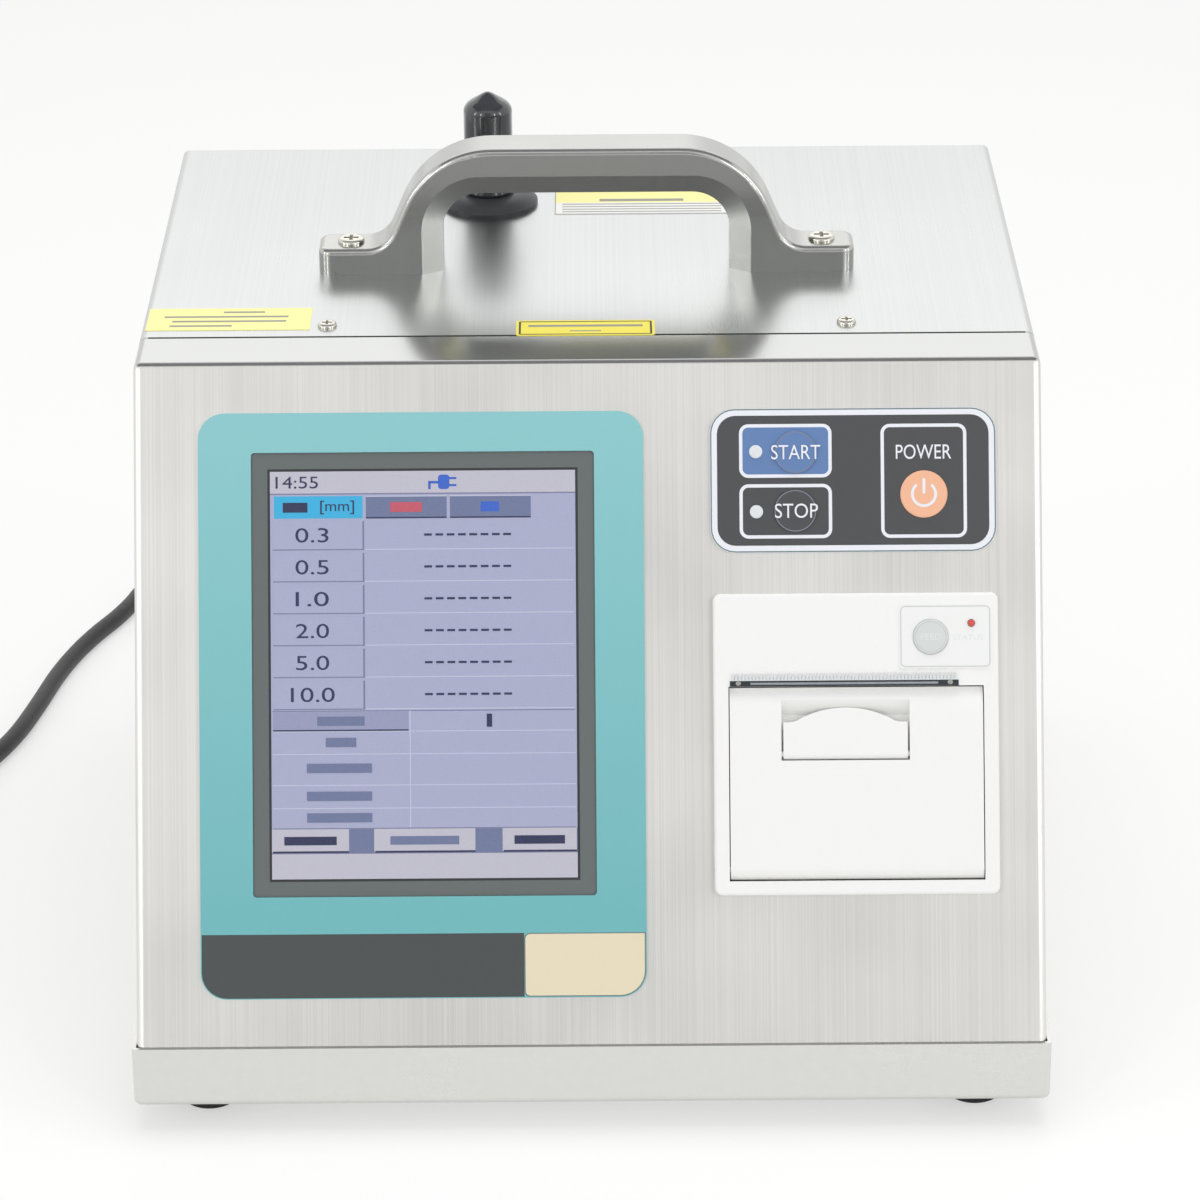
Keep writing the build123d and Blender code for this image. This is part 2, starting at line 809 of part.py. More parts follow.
start_button = push_key(on_face(keypad_u + start_key[0], keypad_s - start_key[1]),
                        key_radius, keypad_film, key_rise, stem_end)
save(start_button, "start_button")
stop_button = push_key(on_face(keypad_u + stop_key[0], keypad_s - stop_key[1]),
                       key_radius, keypad_film, key_rise, stem_end)
save(stop_button, "stop_button")
power_button = push_key(on_face(keypad_u + power_key[0], keypad_s - power_key[1]),
                        power_key_radius, keypad_film, key_rise, stem_end)
save(power_button, "power_button")

with BuildPart() as key_lamps:
    with BuildSketch(on_face(keypad_u, keypad_s, -key_board_front)):
        with Locations(*lamp_places):
            Circle(lamp_radius)
    extrude(amount=key_board_front + keypad_film + key_rise)
    fillet(key_lamps.edges().group_by(face_normal)[-1], key_rise * 0.9)
save(key_lamps, "key_lamps")

with BuildPart() as keypad_board:
    with BuildSketch(on_face(keypad_u, keypad_s, -key_board_front)):
        Rectangle(key_board_width, key_board_height)
    extrude(amount=-board_thick)
    with BuildSketch(on_face(keypad_u, keypad_s, -key_board_front)):
        for place, radius in keypad_holes:
            with Locations(place):
                Rectangle(switch_side, switch_side)
    extrude(amount=switch_height)
    with BuildSketch(on_face(keypad_u, keypad_s, -key_board_front)):
        with GridLocations(key_board_width - 7, key_board_height - 7, 2, 2):
            Circle(standoff_radius)
    extrude(amount=key_board_front - panel_sheet)
save(keypad_board, "keypad_board")

# ------------------------------------------------------------ strip printer: frame and bucket
bucket_inner = bucket_width - 2 * bucket_wall
bucket_low = printer_s + bucket_height / 2
bucket_high = printer_s - bucket_height / 2
pin_s = door_bottom - door_nose
pin_w = printer_rise - door_step - door_nose
head_low = platen_s - platen_radius - head_gap
scoop_half = lever_width / 2 + 2 * slide_fit
lever_place_u = printer_u + lever_u
lever_pivot_s = lever_bottom - lever_nose
lever_pivot_w = printer_rise - door_step - lever_nose

with BuildPart() as printer_frame:
    with BuildSketch(printer_place):
        RectangleRounded(printer_width, printer_height, printer_round)
    extrude(amount=printer_rise)
    fillet(printer_frame.edges().group_by(face_normal)[-1], 0.9)
    # paper bucket behind the face, rounded to the roll at its low back corner
    with BuildSketch(across_face(printer_u)):
        with BuildLine():
            FilletPolyline(
                (0, -bucket_high),
                (-bucket_depth, -bucket_high),
                (-bucket_depth, -bucket_low),
                (0, -bucket_low),
                radius=[4.0, paper_roll_radius + bucket_wall],
            )
            Line((0, -bucket_low), (0, -bucket_high))
        make_face()
    extrude(amount=bucket_width / 2, both=True)
    with BuildSketch(across_face(printer_u)):
        with BuildLine():
            FilletPolyline(
                (0, -bucket_high - bucket_wall),
                (bucket_wall - bucket_depth, -bucket_high - bucket_wall),
                (bucket_wall - bucket_depth, bucket_wall - bucket_low),
                (0, bucket_wall - bucket_low),
                radius=[4.0 - bucket_wall, paper_roll_radius],
            )
            Line((0, bucket_wall - bucket_low), (0, -bucket_high - bucket_wall))
        make_face()
    extrude(amount=bucket_inner / 2, both=True, mode=Mode.SUBTRACT)
    # door opening
    with BuildSketch(across_face(printer_u)):
        with BuildLine():
            Polyline(
                (-1, slide_fit - door_top),
                (2 * printer_rise, slide_fit - door_top),
                (2 * printer_rise, -door_bottom - slide_fit),
                (-1, -door_bottom - slide_fit),
                close=True,
            )
        make_face()
    extrude(amount=door_width / 2 + slide_fit, both=True, mode=Mode.SUBTRACT)
    with BuildSketch(on_face(feed_u, feed_s)):
        Circle(feed_radius + key_fit)
        with Locations((feed_lamp_u - feed_u, feed_s - feed_lamp_s)):
            Circle(feed_lamp_radius + hole_fit)
    extrude(amount=2 * printer_rise, both=True, mode=Mode.SUBTRACT)
    with BuildSketch(across_face(printer_u)):
        with Locations((pin_w, -pin_s)):
            Circle(hinge_pin_radius)
    extrude(amount=bucket_width, both=True, mode=Mode.SUBTRACT)
save(printer_frame, "printer_frame")

# ------------------------------------------------------------ strip printer: door and lever
door_front = printer_rise - door_step
door_back = door_front - door_skin
skirt_back = platen_w - platen_shaft_radius - 2.2
arm_low_s = platen_s + 9.0
scoop_low = lever_bottom + slide_fit
door_half = door_width / 2
scoop_back = scoop_floor - scoop_wall

with BuildPart() as printer_door:
    # skin: round nose on the hinge line, flat front, lip that curves back to the tear bar
    with BuildSketch(across_face(printer_u)):
        with BuildLine():
            Line((door_front, -pin_s), (door_front, -door_crown))
            TangentArc(
                (door_front, -door_crown),
                (door_front - door_lip_back, -door_top),
                tangent=(0, 1),
            )
            Polyline(
                (door_front - door_lip_back, -door_top),
                (door_back - door_lip_back, -door_top),
                (door_back, -door_crown),
                (door_back, door_nose - pin_s),
                (pin_w, door_nose - pin_s),
            )
            CenterArc((pin_w, -pin_s), door_nose, 90, 270)
        make_face()
    extrude(amount=door_half, both=True)
    # side skirts with the platen's bearings at their tops
    for side in (-1, 1):
        with BuildSketch(across_face(printer_u - side * door_half)):
            with BuildLine():
                FilletPolyline(
                    (door_back + door_skin / 2, -door_top - 2.0),
                    (skirt_back, -door_top - 2.0),
                    (skirt_back, -arm_low_s),
                    (pin_w - door_nose, -arm_low_s - 16.0),
                    (pin_w - door_nose, -pin_s),
                    (door_back + door_skin / 2, -pin_s),
                    radius=[2.5, 2.5, 4.0, 0],
                )
                Line((door_back + door_skin / 2, -pin_s), (door_back + door_skin / 2, -door_top - 2.0))
            make_face()
        extrude(amount=-side * door_skirt)
    # recess for the lever, with its own floor and walls
    with BuildSketch(on_face(lever_place_u, (scoop_top + scoop_low) / 2, scoop_back)):
        Rectangle(2 * scoop_half + 4 * scoop_wall, scoop_low - scoop_top + 2 * scoop_wall)
    extrude(amount=door_front - scoop_back - door_skin / 2)
    with BuildSketch(across_face(lever_place_u)):
        with BuildLine():
            Polyline(
                (2 * printer_rise, -scoop_top),
                (door_front, -scoop_top),
                (scoop_floor, -scoop_top - 5.0),
                (scoop_floor, -scoop_low),
                (2 * printer_rise, -scoop_low),
                close=True,
            )
        make_face()
    extrude(amount=scoop_half, both=True, mode=Mode.SUBTRACT)
    # hinge bore, platen bearings and the lever's pivot holes
    with BuildSketch(across_face(printer_u)):
        with Locations((pin_w, -pin_s)):
            Circle(hinge_pin_radius + key_fit)
        with Locations((platen_w, -platen_s)):
            Circle(platen_shaft_radius + key_fit)
    extrude(amount=door_width, both=True, mode=Mode.SUBTRACT)
    with BuildSketch(across_face(lever_place_u)):
        with Locations((lever_pivot_w, -lever_pivot_s)):
            Circle(lever_pin_radius + key_fit)
    extrude(amount=scoop_half + scoop_wall, both=True, mode=Mode.SUBTRACT)
save(printer_door, "printer_door")

with BuildPart() as hinge_pin:
    with BuildSketch(across_face(printer_u)):
        with Locations((pin_w, -pin_s)):
            Circle(hinge_pin_radius)
    extrude(amount=bucket_width / 2, both=True)
save(hinge_pin, "hinge_pin")

with BuildPart() as door_lever:
    with BuildSketch(on_face(lever_place_u, 0, door_front - lever_plate)):
        with BuildLine():
            Polyline(
                (lever_arch_width / 2, -lever_shoulder),
                (lever_width / 2, -lever_shoulder),
                (lever_width / 2, -lever_pivot_s),
                (-lever_width / 2, -lever_pivot_s),
                (-lever_width / 2, -lever_shoulder),
                (-lever_arch_width / 2, -lever_shoulder),
            )
            ThreePointArc(
                (-lever_arch_width / 2, -lever_shoulder),
                (0, -lever_arch_top),
                (lever_arch_width / 2, -lever_shoulder),
            )
        make_face()
        fillet([c for c in vertices() if abs(abs(c.X) - lever_arch_width / 2) < 0.01], 5.0)
    extrude(amount=lever_plate)
    with BuildSketch(across_face(lever_place_u)):
        with Locations((lever_pivot_w, -lever_pivot_s)):
            Circle(lever_nose)
    extrude(amount=lever_width / 2, both=True)
    with BuildSketch(across_face(lever_place_u)):
        with Locations((lever_pivot_w, -lever_pivot_s)):
            Circle(lever_pin_radius)
    extrude(amount=scoop_half + scoop_wall, both=True)
save(door_lever, "door_lever")

# ------------------------------------------------------------ strip printer: paper path
shaft_half = door_half - door_step
gear_u = printer_u + platen_length / 2 + 2.0
with BuildPart() as platen_roller:
    with BuildSketch(across_face(printer_u)):
        with Locations((platen_w, -platen_s)):
            Circle(platen_radius)
            Circle(platen_shaft_radius, mode=Mode.SUBTRACT)
    extrude(amount=platen_length / 2, both=True)
save(platen_roller, "platen_roller")

with BuildPart() as platen_shaft:
    with BuildSketch(across_face(printer_u)):
        with Locations((platen_w, -platen_s)):
            Circle(platen_shaft_radius)
    extrude(amount=shaft_half, both=True)
    # moulded drive gear beside the roller
    with BuildSketch(across_face(gear_u)):
        with Locations((platen_w, -platen_s)):
            Circle(platen_gear_radius - 0.7)
            with PolarLocations(platen_gear_radius - 0.5, platen_gear_teeth):
                Rectangle(1.0, 0.8)
    extrude(amount=1.2, both=True)
save(platen_shaft, "platen_shaft")

head_top_w = platen_w + platen_radius / 2
with BuildPart() as thermal_head:
    with BuildSketch(across_face(printer_u)):
        with BuildLine():
            Polyline(
                (head_top_w, -head_low),
                (head_top_w, 1.0 - head_low),
                (head_top_w - 2.0, head_thick - head_low),
                (head_top_w - head_depth, head_thick - head_low),
                (head_top_w - head_depth, -head_low),
                close=True,
            )
        make_face()
    extrude(amount=bucket_inner / 2, both=True)
save(thermal_head, "thermal_head")

roll_w = -bucket_depth + bucket_wall + paper_roll_radius + slide_fit
roll_s = bucket_low - bucket_wall - paper_roll_radius - slide_fit
with BuildPart() as paper_roll:
    with BuildSketch(across_face(printer_u)):
        with Locations((roll_w, -roll_s)):
            Circle(paper_roll_radius)
            Circle(paper_core_radius, mode=Mode.SUBTRACT)
    extrude(amount=paper_roll_width / 2, both=True)
save(paper_roll, "paper_roll")

tear_middle = printer_u + tear_u
tooth_count = int(tear_width / tear_pitch)
with BuildPart() as tear_bar:
    with BuildSketch(on_face(tear_middle, (tear_root + tear_edge) / 2, printer_rise)):
        Rectangle(tear_width, tear_edge - tear_root)
        with Locations((0, (tear_edge - tear_root) / 2)):
            with GridLocations(tear_pitch, 0, tooth_count, 1):
                Triangle(a=tear_pitch, b=hypot(tear_pitch / 2, tear_root - tear_tip),
                         c=hypot(tear_pitch / 2, tear_root - tear_tip), align=(Align.CENTER, Align.MIN))
    extrude(amount=tear_plate)
    with BuildSketch(on_face(tear_middle, (tear_root + tear_edge) / 2, printer_rise)):
        with GridLocations(tear_width - 2 * tear_root + 2 * tear_tip - 0.4, 0, 2, 1):
            Circle(0.5)
    extrude(amount=tear_plate, mode=Mode.SUBTRACT)
save(tear_bar, "tear_bar")

with BuildPart() as tear_bar_screws:
    with BuildSketch(on_face(tear_middle, (tear_root + tear_edge) / 2, printer_rise + tear_plate)):
        with GridLocations(tear_width - 2 * tear_root + 2 * tear_tip - 0.4, 0, 2, 1):
            Circle(0.65)
    extrude(amount=0.3)
    with BuildSketch(on_face(tear_middle, (tear_root + tear_edge) / 2, printer_rise)):
        with GridLocations(tear_width - 2 * tear_root + 2 * tear_tip - 0.4, 0, 2, 1):
            Circle(0.45)
    extrude(amount=tear_plate)
save(tear_bar_screws, "tear_bar_screws")

# ------------------------------------------------------------ strip printer: feed key and board
with BuildPart() as feed_label:
    with BuildSketch(on_face(feed_label_u, feed_label_s, printer_rise)):
        RectangleRounded(feed_label_width, feed_label_height, 1.1)
        with Locations((feed_u - feed_label_u, feed_label_s - feed_s)):
            Circle(feed_radius + key_fit, mode=Mode.SUBTRACT)
        with Locations((feed_lamp_u - feed_label_u, feed_label_s - feed_lamp_s)):
            Circle(feed_lamp_radius + hole_fit, mode=Mode.SUBTRACT)
    extrude(amount=feed_label_film)
save(feed_label, "feed_label")

with BuildPart() as feed_button:
    with BuildSketch(on_face(feed_u, feed_s)):
        Circle(feed_radius)
    extrude(amount=printer_rise + feed_label_film + feed_rise)
    fillet(feed_button.edges().sort_by(face_normal)[-1], 0.4)
    with BuildSketch(on_face(feed_u, feed_s)):
        Circle(feed_radius + key_flange)
    extrude(amount=-key_flange)
    with BuildSketch(on_face(feed_u, feed_s)):
        Circle(1.5)
    extrude(amount=-(feed_board_depth - 1.6 - feed_travel - 2 * hole_fit))
save(feed_button, "feed_button")

with BuildPart() as printer_lamp:
    with BuildSketch(on_face(feed_lamp_u, feed_lamp_s, -feed_board_depth)):
        Circle(feed_lamp_radius)
    extrude(amount=feed_board_depth + printer_rise + feed_label_film + feed_lamp_radius)
    fillet(printer_lamp.edges().sort_by(face_normal)[-1], feed_lamp_radius * 0.95)
save(printer_lamp, "printer_lamp")

with BuildPart() as printer_board:
    with BuildSketch(on_face(feed_label_u, feed_label_s, -feed_board_depth)):
        Rectangle(21.0, 15.0)
    extrude(amount=-board_thick)
    with BuildSketch(on_face(feed_u, feed_s, -feed_board_depth)):
        Rectangle(switch_side, switch_side)
    extrude(amount=1.6)
    with BuildSketch(on_face(feed_label_u, feed_label_s, -feed_board_depth)):
        with Locations((9.0, -6.0), (-9.0, -6.0)):
            Circle(1.4)
    extrude(amount=feed_board_depth)
save(printer_board, "printer_board")

with BuildPart() as feed_motor:
    with BuildSketch(Plane(on_face(printer_u + bucket_width / 2, platen_s - 2.0, -26.0).origin,
                           x_dir=FACE.z_dir, z_dir=(1, 0, 0))):
        RectangleRounded(24.0, 18.0, 3.0)
    extrude(amount=3.0)
    with BuildSketch(Plane(on_face(printer_u + bucket_width / 2 + 3.0, platen_s - 2.0, -26.0).origin,
                           x_dir=FACE.z_dir, z_dir=(1, 0, 0))):
        Circle(7.5)
    extrude(amount=8.0)
save(feed_motor, "feed_motor")

# ------------------------------------------------------------ optics
bracket_top = sensor_top - sensor_height
bracket_half = bracket_width / 2
with BuildPart() as sensor_bracket:
    with BuildSketch(Plane.XZ.offset(-inlet_y)):
        with BuildLine():
            FilletPolyline(
                (inlet_x - bracket_half - bracket_foot, tray_floor),
                (inlet_x - bracket_half, tray_floor),
                (inlet_x - bracket_half, bracket_top - bracket_sheet),
                (inlet_x + bracket_half, bracket_top - bracket_sheet),
                (inlet_x + bracket_half, tray_floor),
                (inlet_x + bracket_half + bracket_foot, tray_floor),
                radius=[bracket_sheet, 2 * bracket_sheet, 2 * bracket_sheet, bracket_sheet],
            )
            offset(amount=bracket_sheet, side=Side.LEFT)
        make_face()
    extrude(amount=bracket_depth / 2, both=True)
save(sensor_bracket, "sensor_bracket")

optic_z = sensor_top - sensor_height / 2
sensor_left = inlet_x - sensor_width / 2
sensor_right = inlet_x + sensor_width / 2
sensor_front = inlet_y - sensor_depth / 2
sample_start_z = optic_z
sample_x = pump_x - pump_nipple_pitch / 2
with BuildPart() as sensor_block:
    with BuildSketch(Plane.XY.offset(bracket_top)):
        with Locations((inlet_x, inlet_y)):
            RectangleRounded(sensor_width, sensor_depth, 4.0)
    extrude(amount=sensor_height)
    fillet(sensor_block.edges().group_by(Axis.Z)[-1], 1.5)
    # sample passage from the nozzle, and the light passage across it
    with BuildSketch(Plane.XY.offset(sensor_top)):
        with Locations((inlet_x, inlet_y)):
            Circle(nozzle_bore - 1.0)
    extrude(amount=-sensor_height / 2, mode=Mode.SUBTRACT)
    with BuildSketch(Plane.XZ.offset(-sensor_front)):
        with Locations((inlet_x, sample_start_z)):
            Circle(nipple_radius)
    extrude(amount=10.0)
    with BuildSketch(Plane.XZ.offset(10.0 - sensor_front)):
        with Locations((inlet_x, sample_start_z)):
            Circle(nipple_radius - 1.0)
    extrude(amount=-10.0 - sensor_depth / 2, mode=Mode.SUBTRACT)
save(sensor_block, "sensor_block")

with BuildPart() as laser_module:
    with BuildSketch(Plane((sensor_left, inlet_y, optic_z), z_dir=(-1, 0, 0))):
        Circle(laser_radius)
    extrude(amount=laser_length)
    with BuildSketch(Plane((sensor_left, inlet_y, optic_z), z_dir=(-1, 0, 0))):
        Rectangle(laser_flange, laser_flange)
    extrude(amount=laser_flange_thick)
    # cooling rings turned into the barrel
    for ring in range(4):
        ring_x = sensor_left - 9.0 - laser_ring_pitch * ring
        with BuildSketch(Plane((ring_x, inlet_y, optic_z), z_dir=(-1, 0, 0))):
            Circle(laser_radius)
            Circle(laser_radius - 1.5, mode=Mode.SUBTRACT)
        extrude(amount=2.2, mode=Mode.SUBTRACT)
save(laser_module, "laser_module")

detector_x = sensor_right + detector_standoff
with BuildPart() as detector_board:
    with BuildSketch(Plane((sensor_right, inlet_y, optic_z), z_dir=(1, 0, 0))):
        with GridLocations(detector_width - detector_edge, detector_height - detector_edge, 2, 2):
            Circle(detector_edge / 4)
    extrude(amount=detector_standoff)
    with BuildSketch(Plane((detector_x, inlet_y, optic_z), z_dir=(1, 0, 0))):
        Rectangle(detector_width, detector_height)
    extrude(amount=board_thick)
    with BuildSketch(Plane((detector_x + board_thick, inlet_y, optic_z), z_dir=(1, 0, 0))):
        with GridLocations(detector_width / 2.6, detector_height / 2.6, 2, 2):
            Rectangle(chip_long, chip_short)
    extrude(amount=chip_thick)
save(detector_board, "detector_board")

# ------------------------------------------------------------ power supply
supply_floor = tray_floor + standoff_height
with BuildPart() as power_supply:
    with BuildSketch(Plane.XY.offset(tray_floor)):
        with Locations((supply_x, inlet_y)):
            with GridLocations(supply_width - 8, supply_depth - 8, 2, 2):
                Circle(standoff_radius)
    extrude(amount=standoff_height)
    with BuildSketch(Plane.XY.offset(supply_floor)):
        with Locations((supply_x, inlet_y)):
            Rectangle(supply_width, supply_depth)
    extrude(amount=board_thick)
    with BuildSketch(Plane.XY.offset(supply_floor + board_thick)):
        with Locations((supply_x - supply_width / 24, inlet_y)):
            Rectangle(transformer_width, transformer_depth)
    extrude(amount=transformer_height)
    with BuildSketch(Plane.XY.offset(supply_floor + board_thick)):
        with Locations(
            (supply_x - supply_width / 3, inlet_y - supply_depth / 5),
            (supply_x + supply_width / 3, inlet_y + supply_depth / 4.4),
        ):
            Circle(capacitor_radius)
    extrude(amount=capacitor_height)
    # finned heat sinks at both ends
    with BuildSketch(Plane.XY.offset(supply_floor + board_thick)):
        with Locations(
            (supply_x - supply_width / 2.4, inlet_y + supply_depth / 4.4),
            (supply_x + supply_width / 4.4, inlet_y - supply_depth / 4.4),
        ):
            with GridLocations(sink_pitch, 0, 4, 1):
                Rectangle(sink_fin, sink_depth)
            Rectangle(3 * sink_pitch + sink_fin, 1.25 * sink_fin)
    extrude(amount=sink_height)
save(power_supply, "power_supply")

# ------------------------------------------------------------ pump, filter and hoses
pump_floor = tray_floor + pump_mount_height
pump_axis_z = pump_floor + pump_plate + pump_motor_radius
pump_head_top = pump_axis_z + pump_motor_radius + 3.0
nipple_top = pump_head_top + 9.0
hose_y = pump_y - pump_head_shift
mount_pitch_x = pump_base_width - 10.0
mount_pitch_y = pump_base_depth - 10.0

with BuildPart() as pump_mounts:
    with BuildSketch(Plane.XY.offset(tray_floor)):
        with Locations((pump_x, pump_y)):
            with GridLocations(mount_pitch_x, mount_pitch_y, 2, 2):
                Circle(4.5)
    extrude(amount=pump_mount_height)
    with BuildSketch(Plane.XY.offset(tray_floor + pump_mount_height / 3)):
        with Locations((pump_x, pump_y)):
            with GridLocations(mount_pitch_x, mount_pitch_y, 2, 2):
                Circle(4.5)
                Circle(3.0, mode=Mode.SUBTRACT)
    extrude(amount=pump_mount_height / 3, mode=Mode.SUBTRACT)
save(pump_mounts, "pump_mounts")

with BuildPart() as sample_pump:
    with BuildSketch(Plane.XY.offset(pump_floor)):
        with Locations((pump_x, pump_y)):
            RectangleRounded(pump_base_width, pump_base_depth, 4.0)
    extrude(amount=pump_plate)
    with BuildSketch(Plane.XZ.offset(pump_plate - pump_y)):
        with Locations((pump_x, pump_axis_z)):
            Circle(pump_motor_radius)
    extrude(amount=-pump_base_depth / 2)
    with BuildSketch(Plane.XY.offset(pump_floor)):
        with Locations((pump_x, hose_y)):
            RectangleRounded(pump_head_width, pump_head_depth, pump_head_round)
    extrude(amount=pump_head_top - pump_floor)
    with BuildSketch(Plane.XY.offset(pump_head_top)):
        with Locations((pump_x, hose_y)):
            with GridLocations(pump_nipple_pitch, 0, 2, 1):
                Circle(nipple_radius)
    extrude(amount=nipple_top - pump_head_top)
save(sample_pump, "sample_pump")

filter_front = rear_face - panel_sheet - 8.0 - filter_length - 10.0
filter_line = Axis((exhaust_x, 0, exhaust_z), (0, 1, 0))
filter_side = Plane((exhaust_x, 0, exhaust_z), x_dir=(0, 1, 0), z_dir=(-1, 0, 0))
filter_end = filter_front + filter_length
with BuildPart() as exhaust_filter:
    with BuildSketch(filter_side):
        with BuildLine():
            Polyline(
                (filter_front - 9.0, 0),
                (filter_front - 9.0, nipple_radius),
                (filter_front, nipple_radius),
                (filter_front, filter_radius * 0.5),
                (filter_front + 6.0, filter_radius),
                (filter_end - 6.0, filter_radius),
                (filter_end, filter_radius * 0.5),
                (filter_end, nipple_radius),
                (rear_face - 2 * panel_sheet, nipple_radius),
                (rear_face - 2 * panel_sheet, 0),
                close=True,
            )
        make_face()
    revolve(axis=filter_line)
save(exhaust_filter, "exhaust_filter")

hose_grip = 6.0
hose_bore = nipple_radius + key_fit


def hose(*corners):
    """Flexible hose through its corner points, bored to slip over the nipples."""
    with BuildPart() as tube:
        with BuildLine() as route:
            FilletPolyline(*corners, radius=hose_bend)
        start = Plane(route.line @ 0, z_dir=route.line % 0)
        with BuildSketch(start):
            Circle(hose_radius)
            Circle(hose_bore, mode=Mode.SUBTRACT)
        sweep()
    return tube


sample_hose = hose(
    (inlet_x, sensor_front - 10.0 + hose_grip, sample_start_z),
    (inlet_x, hose_y, sample_start_z),
    (sample_x, hose_y, sample_start_z),
    (sample_x, hose_y, nipple_top - hose_grip),
)
save(sample_hose, "sample_hose")
exhaust_hose = hose(
    (exhaust_x, hose_y, nipple_top - hose_grip),
    (exhaust_x, hose_y, exhaust_z),
    (exhaust_x, filter_front - 9.0 + hose_grip, exhaust_z),
)
save(exhaust_hose, "exhaust_hose")

with BuildPart() as exhaust_port:
    with BuildSketch(exhaust_place):
        Circle(exhaust_flange_radius)
    extrude(amount=2.0)
    with BuildSketch(exhaust_place):
        Circle(exhaust_spigot_radius)
    extrude(amount=2.0 + exhaust_spigot_length)
    with BuildSketch(exhaust_place):
        Circle(nipple_radius + slide_fit + bucket_wall)
    extrude(amount=-2.0 * panel_sheet)
    with BuildSketch(exhaust_place.offset(-3 * panel_sheet)):
        Circle(nipple_radius + key_fit)
    extrude(amount=4 * exhaust_spigot_length, mode=Mode.SUBTRACT)
save(exhaust_port, "exhaust_port")

# ------------------------------------------------------------ rear connectors
pin_offsets = ((0, 4.0), (-7.0, -3.0), (7.0, -3.0))
with BuildPart() as power_inlet:
    with BuildSketch(supply_place):
        RectangleRounded(inlet_body_width + 4.0, inlet_body_height + 4.0, 2.0)
    extrude(amount=inlet_lip)
    with BuildSketch(supply_place):
        Rectangle(inlet_body_width, inlet_body_height)
    extrude(amount=-inlet_body_depth)
    with BuildSketch(supply_place.offset(inlet_lip)):
        RectangleRounded(socket_width, socket_height, 3.0)
    extrude(amount=-socket_depth - inlet_lip, mode=Mode.SUBTRACT)
    with BuildSketch(supply_place.offset(-socket_depth)):
        with Locations(*pin_offsets):
            Rectangle(2.0, 4.0)
    extrude(amount=socket_depth - 2.0)
save(power_inlet, "power_inlet")

with BuildPart() as serial_port:
    with BuildSketch(serial_place):
        RectangleRounded(30.8, 12.5, 1.0)
    extrude(amount=1.0)
    with BuildSketch(serial_place):
        RectangleRounded(serial_width, serial_height, 2.4)
    extrude(amount=6.0)
    with BuildSketch(serial_place.offset(1.0)):
        RectangleRounded(serial_width - 1.2, serial_height - 1.2, 1.9)
    extrude(amount=5.0, mode=Mode.SUBTRACT)
    with BuildSketch(serial_place):
        with Locations((0, 1.4)):
            with GridLocations(2.7, 0, 5, 1):
                Circle(0.5)
        with Locations((0, -1.4)):
            with GridLocations(2.7, 0, 4, 1):
                Circle(0.5)
    extrude(amount=5.4)
    with BuildSketch(serial_place):
        with GridLocations(serial_pitch, 0, 2, 1):
            RegularPolygon(2.5, 6)
    extrude(amount=5.0)
    with BuildSketch(serial_place):
        Rectangle(serial_width + 1.6, serial_height + 1.6)
    extrude(amount=-9.0)
save(serial_port, "serial_port")

# ------------------------------------------------------------ mains lead
connector_back = rear_face + inlet_lip + slide_fit
with BuildPart() as cord_connector:
    with BuildSketch(facing_back(supply_inlet_x, connector_back, supply_inlet_z)):
        RectangleRounded(socket_width + 4.0, socket_height + 3.0, 4.0)
    extrude(amount=lead_start_y - relief_length - connector_back)
    fillet(cord_connector.edges().group_by(Axis.Y)[-1], 3.0)
    with BuildSketch(facing_back(supply_inlet_x, connector_back, supply_inlet_z)):
        RectangleRounded(socket_width - 2 * hole_fit, socket_height - 2 * hole_fit, 2.8)
    extrude(amount=slide_fit + hole_fit - inlet_lip - socket_depth)
    with BuildSketch(facing_back(supply_inlet_x, rear_face, supply_inlet_z)):
        with Locations(*pin_offsets):
            Rectangle(2.4, 4.4)
    extrude(amount=-socket_depth - 1, mode=Mode.SUBTRACT)
save(cord_connector, "cord_connector")

with BuildPart() as cord_strain_relief:
    with BuildSketch(facing_back(supply_inlet_x, lead_start_y - relief_length, supply_inlet_z)):
        Circle(5.6)
    with BuildSketch(facing_back(supply_inlet_x, lead_start_y, supply_inlet_z)):
        Circle(lead_radius + 0.6)
    loft()
    # bending slots moulded across the taper
    for ring in range(4):
        ring_y = lead_start_y - relief_length + 5.0 + 5.0 * ring
        with BuildSketch(facing_back(supply_inlet_x, ring_y, supply_inlet_z)):
            Circle(8.0)
            Circle(lead_radius + 0.8, mode=Mode.SUBTRACT)
        extrude(amount=1.6, mode=Mode.SUBTRACT)
save(cord_strain_relief, "cord_strain_relief")

lead_route = [
    (supply_inlet_x, lead_start_y, supply_inlet_z),
    (supply_inlet_x, 206.0, supply_inlet_z),
    (-81.5, 235.0, 37.0),
    (-96.0, 256.0, 23.0),
    (-119.5, 264.0, 9.0),
    (-143.0, 256.0, 3.0),
    (-157.5, 236.0, 3.0),
    (-163.5, 211.0, 3.0),
    (-174.5, 187.5, 3.0),
    (-182.0, 162.5, 3.0),
    (-186.5, 136.0, 3.0),
    (-192.0, 110.0, 3.0),
    (-201.5, 87.0, 3.0),
    (-208.0, 63.0, 3.0),
    (-209.0, 40.0, 3.0),
]


def lead_radii(points):
    """Arc at each corner: 0.45 of its shorter run over the tangent of half the turn."""
    radii = []
    for before, corner, after in zip(points, points[1:], points[2:]):
        run_in = Vector(corner) - Vector(before)
        run_out = Vector(after) - Vector(corner)
        half_turn = radians(run_in.get_angle(run_out)) / 2
        radii.append(0.45 * min(run_in.length, run_out.length) / tan(half_turn))
    return radii


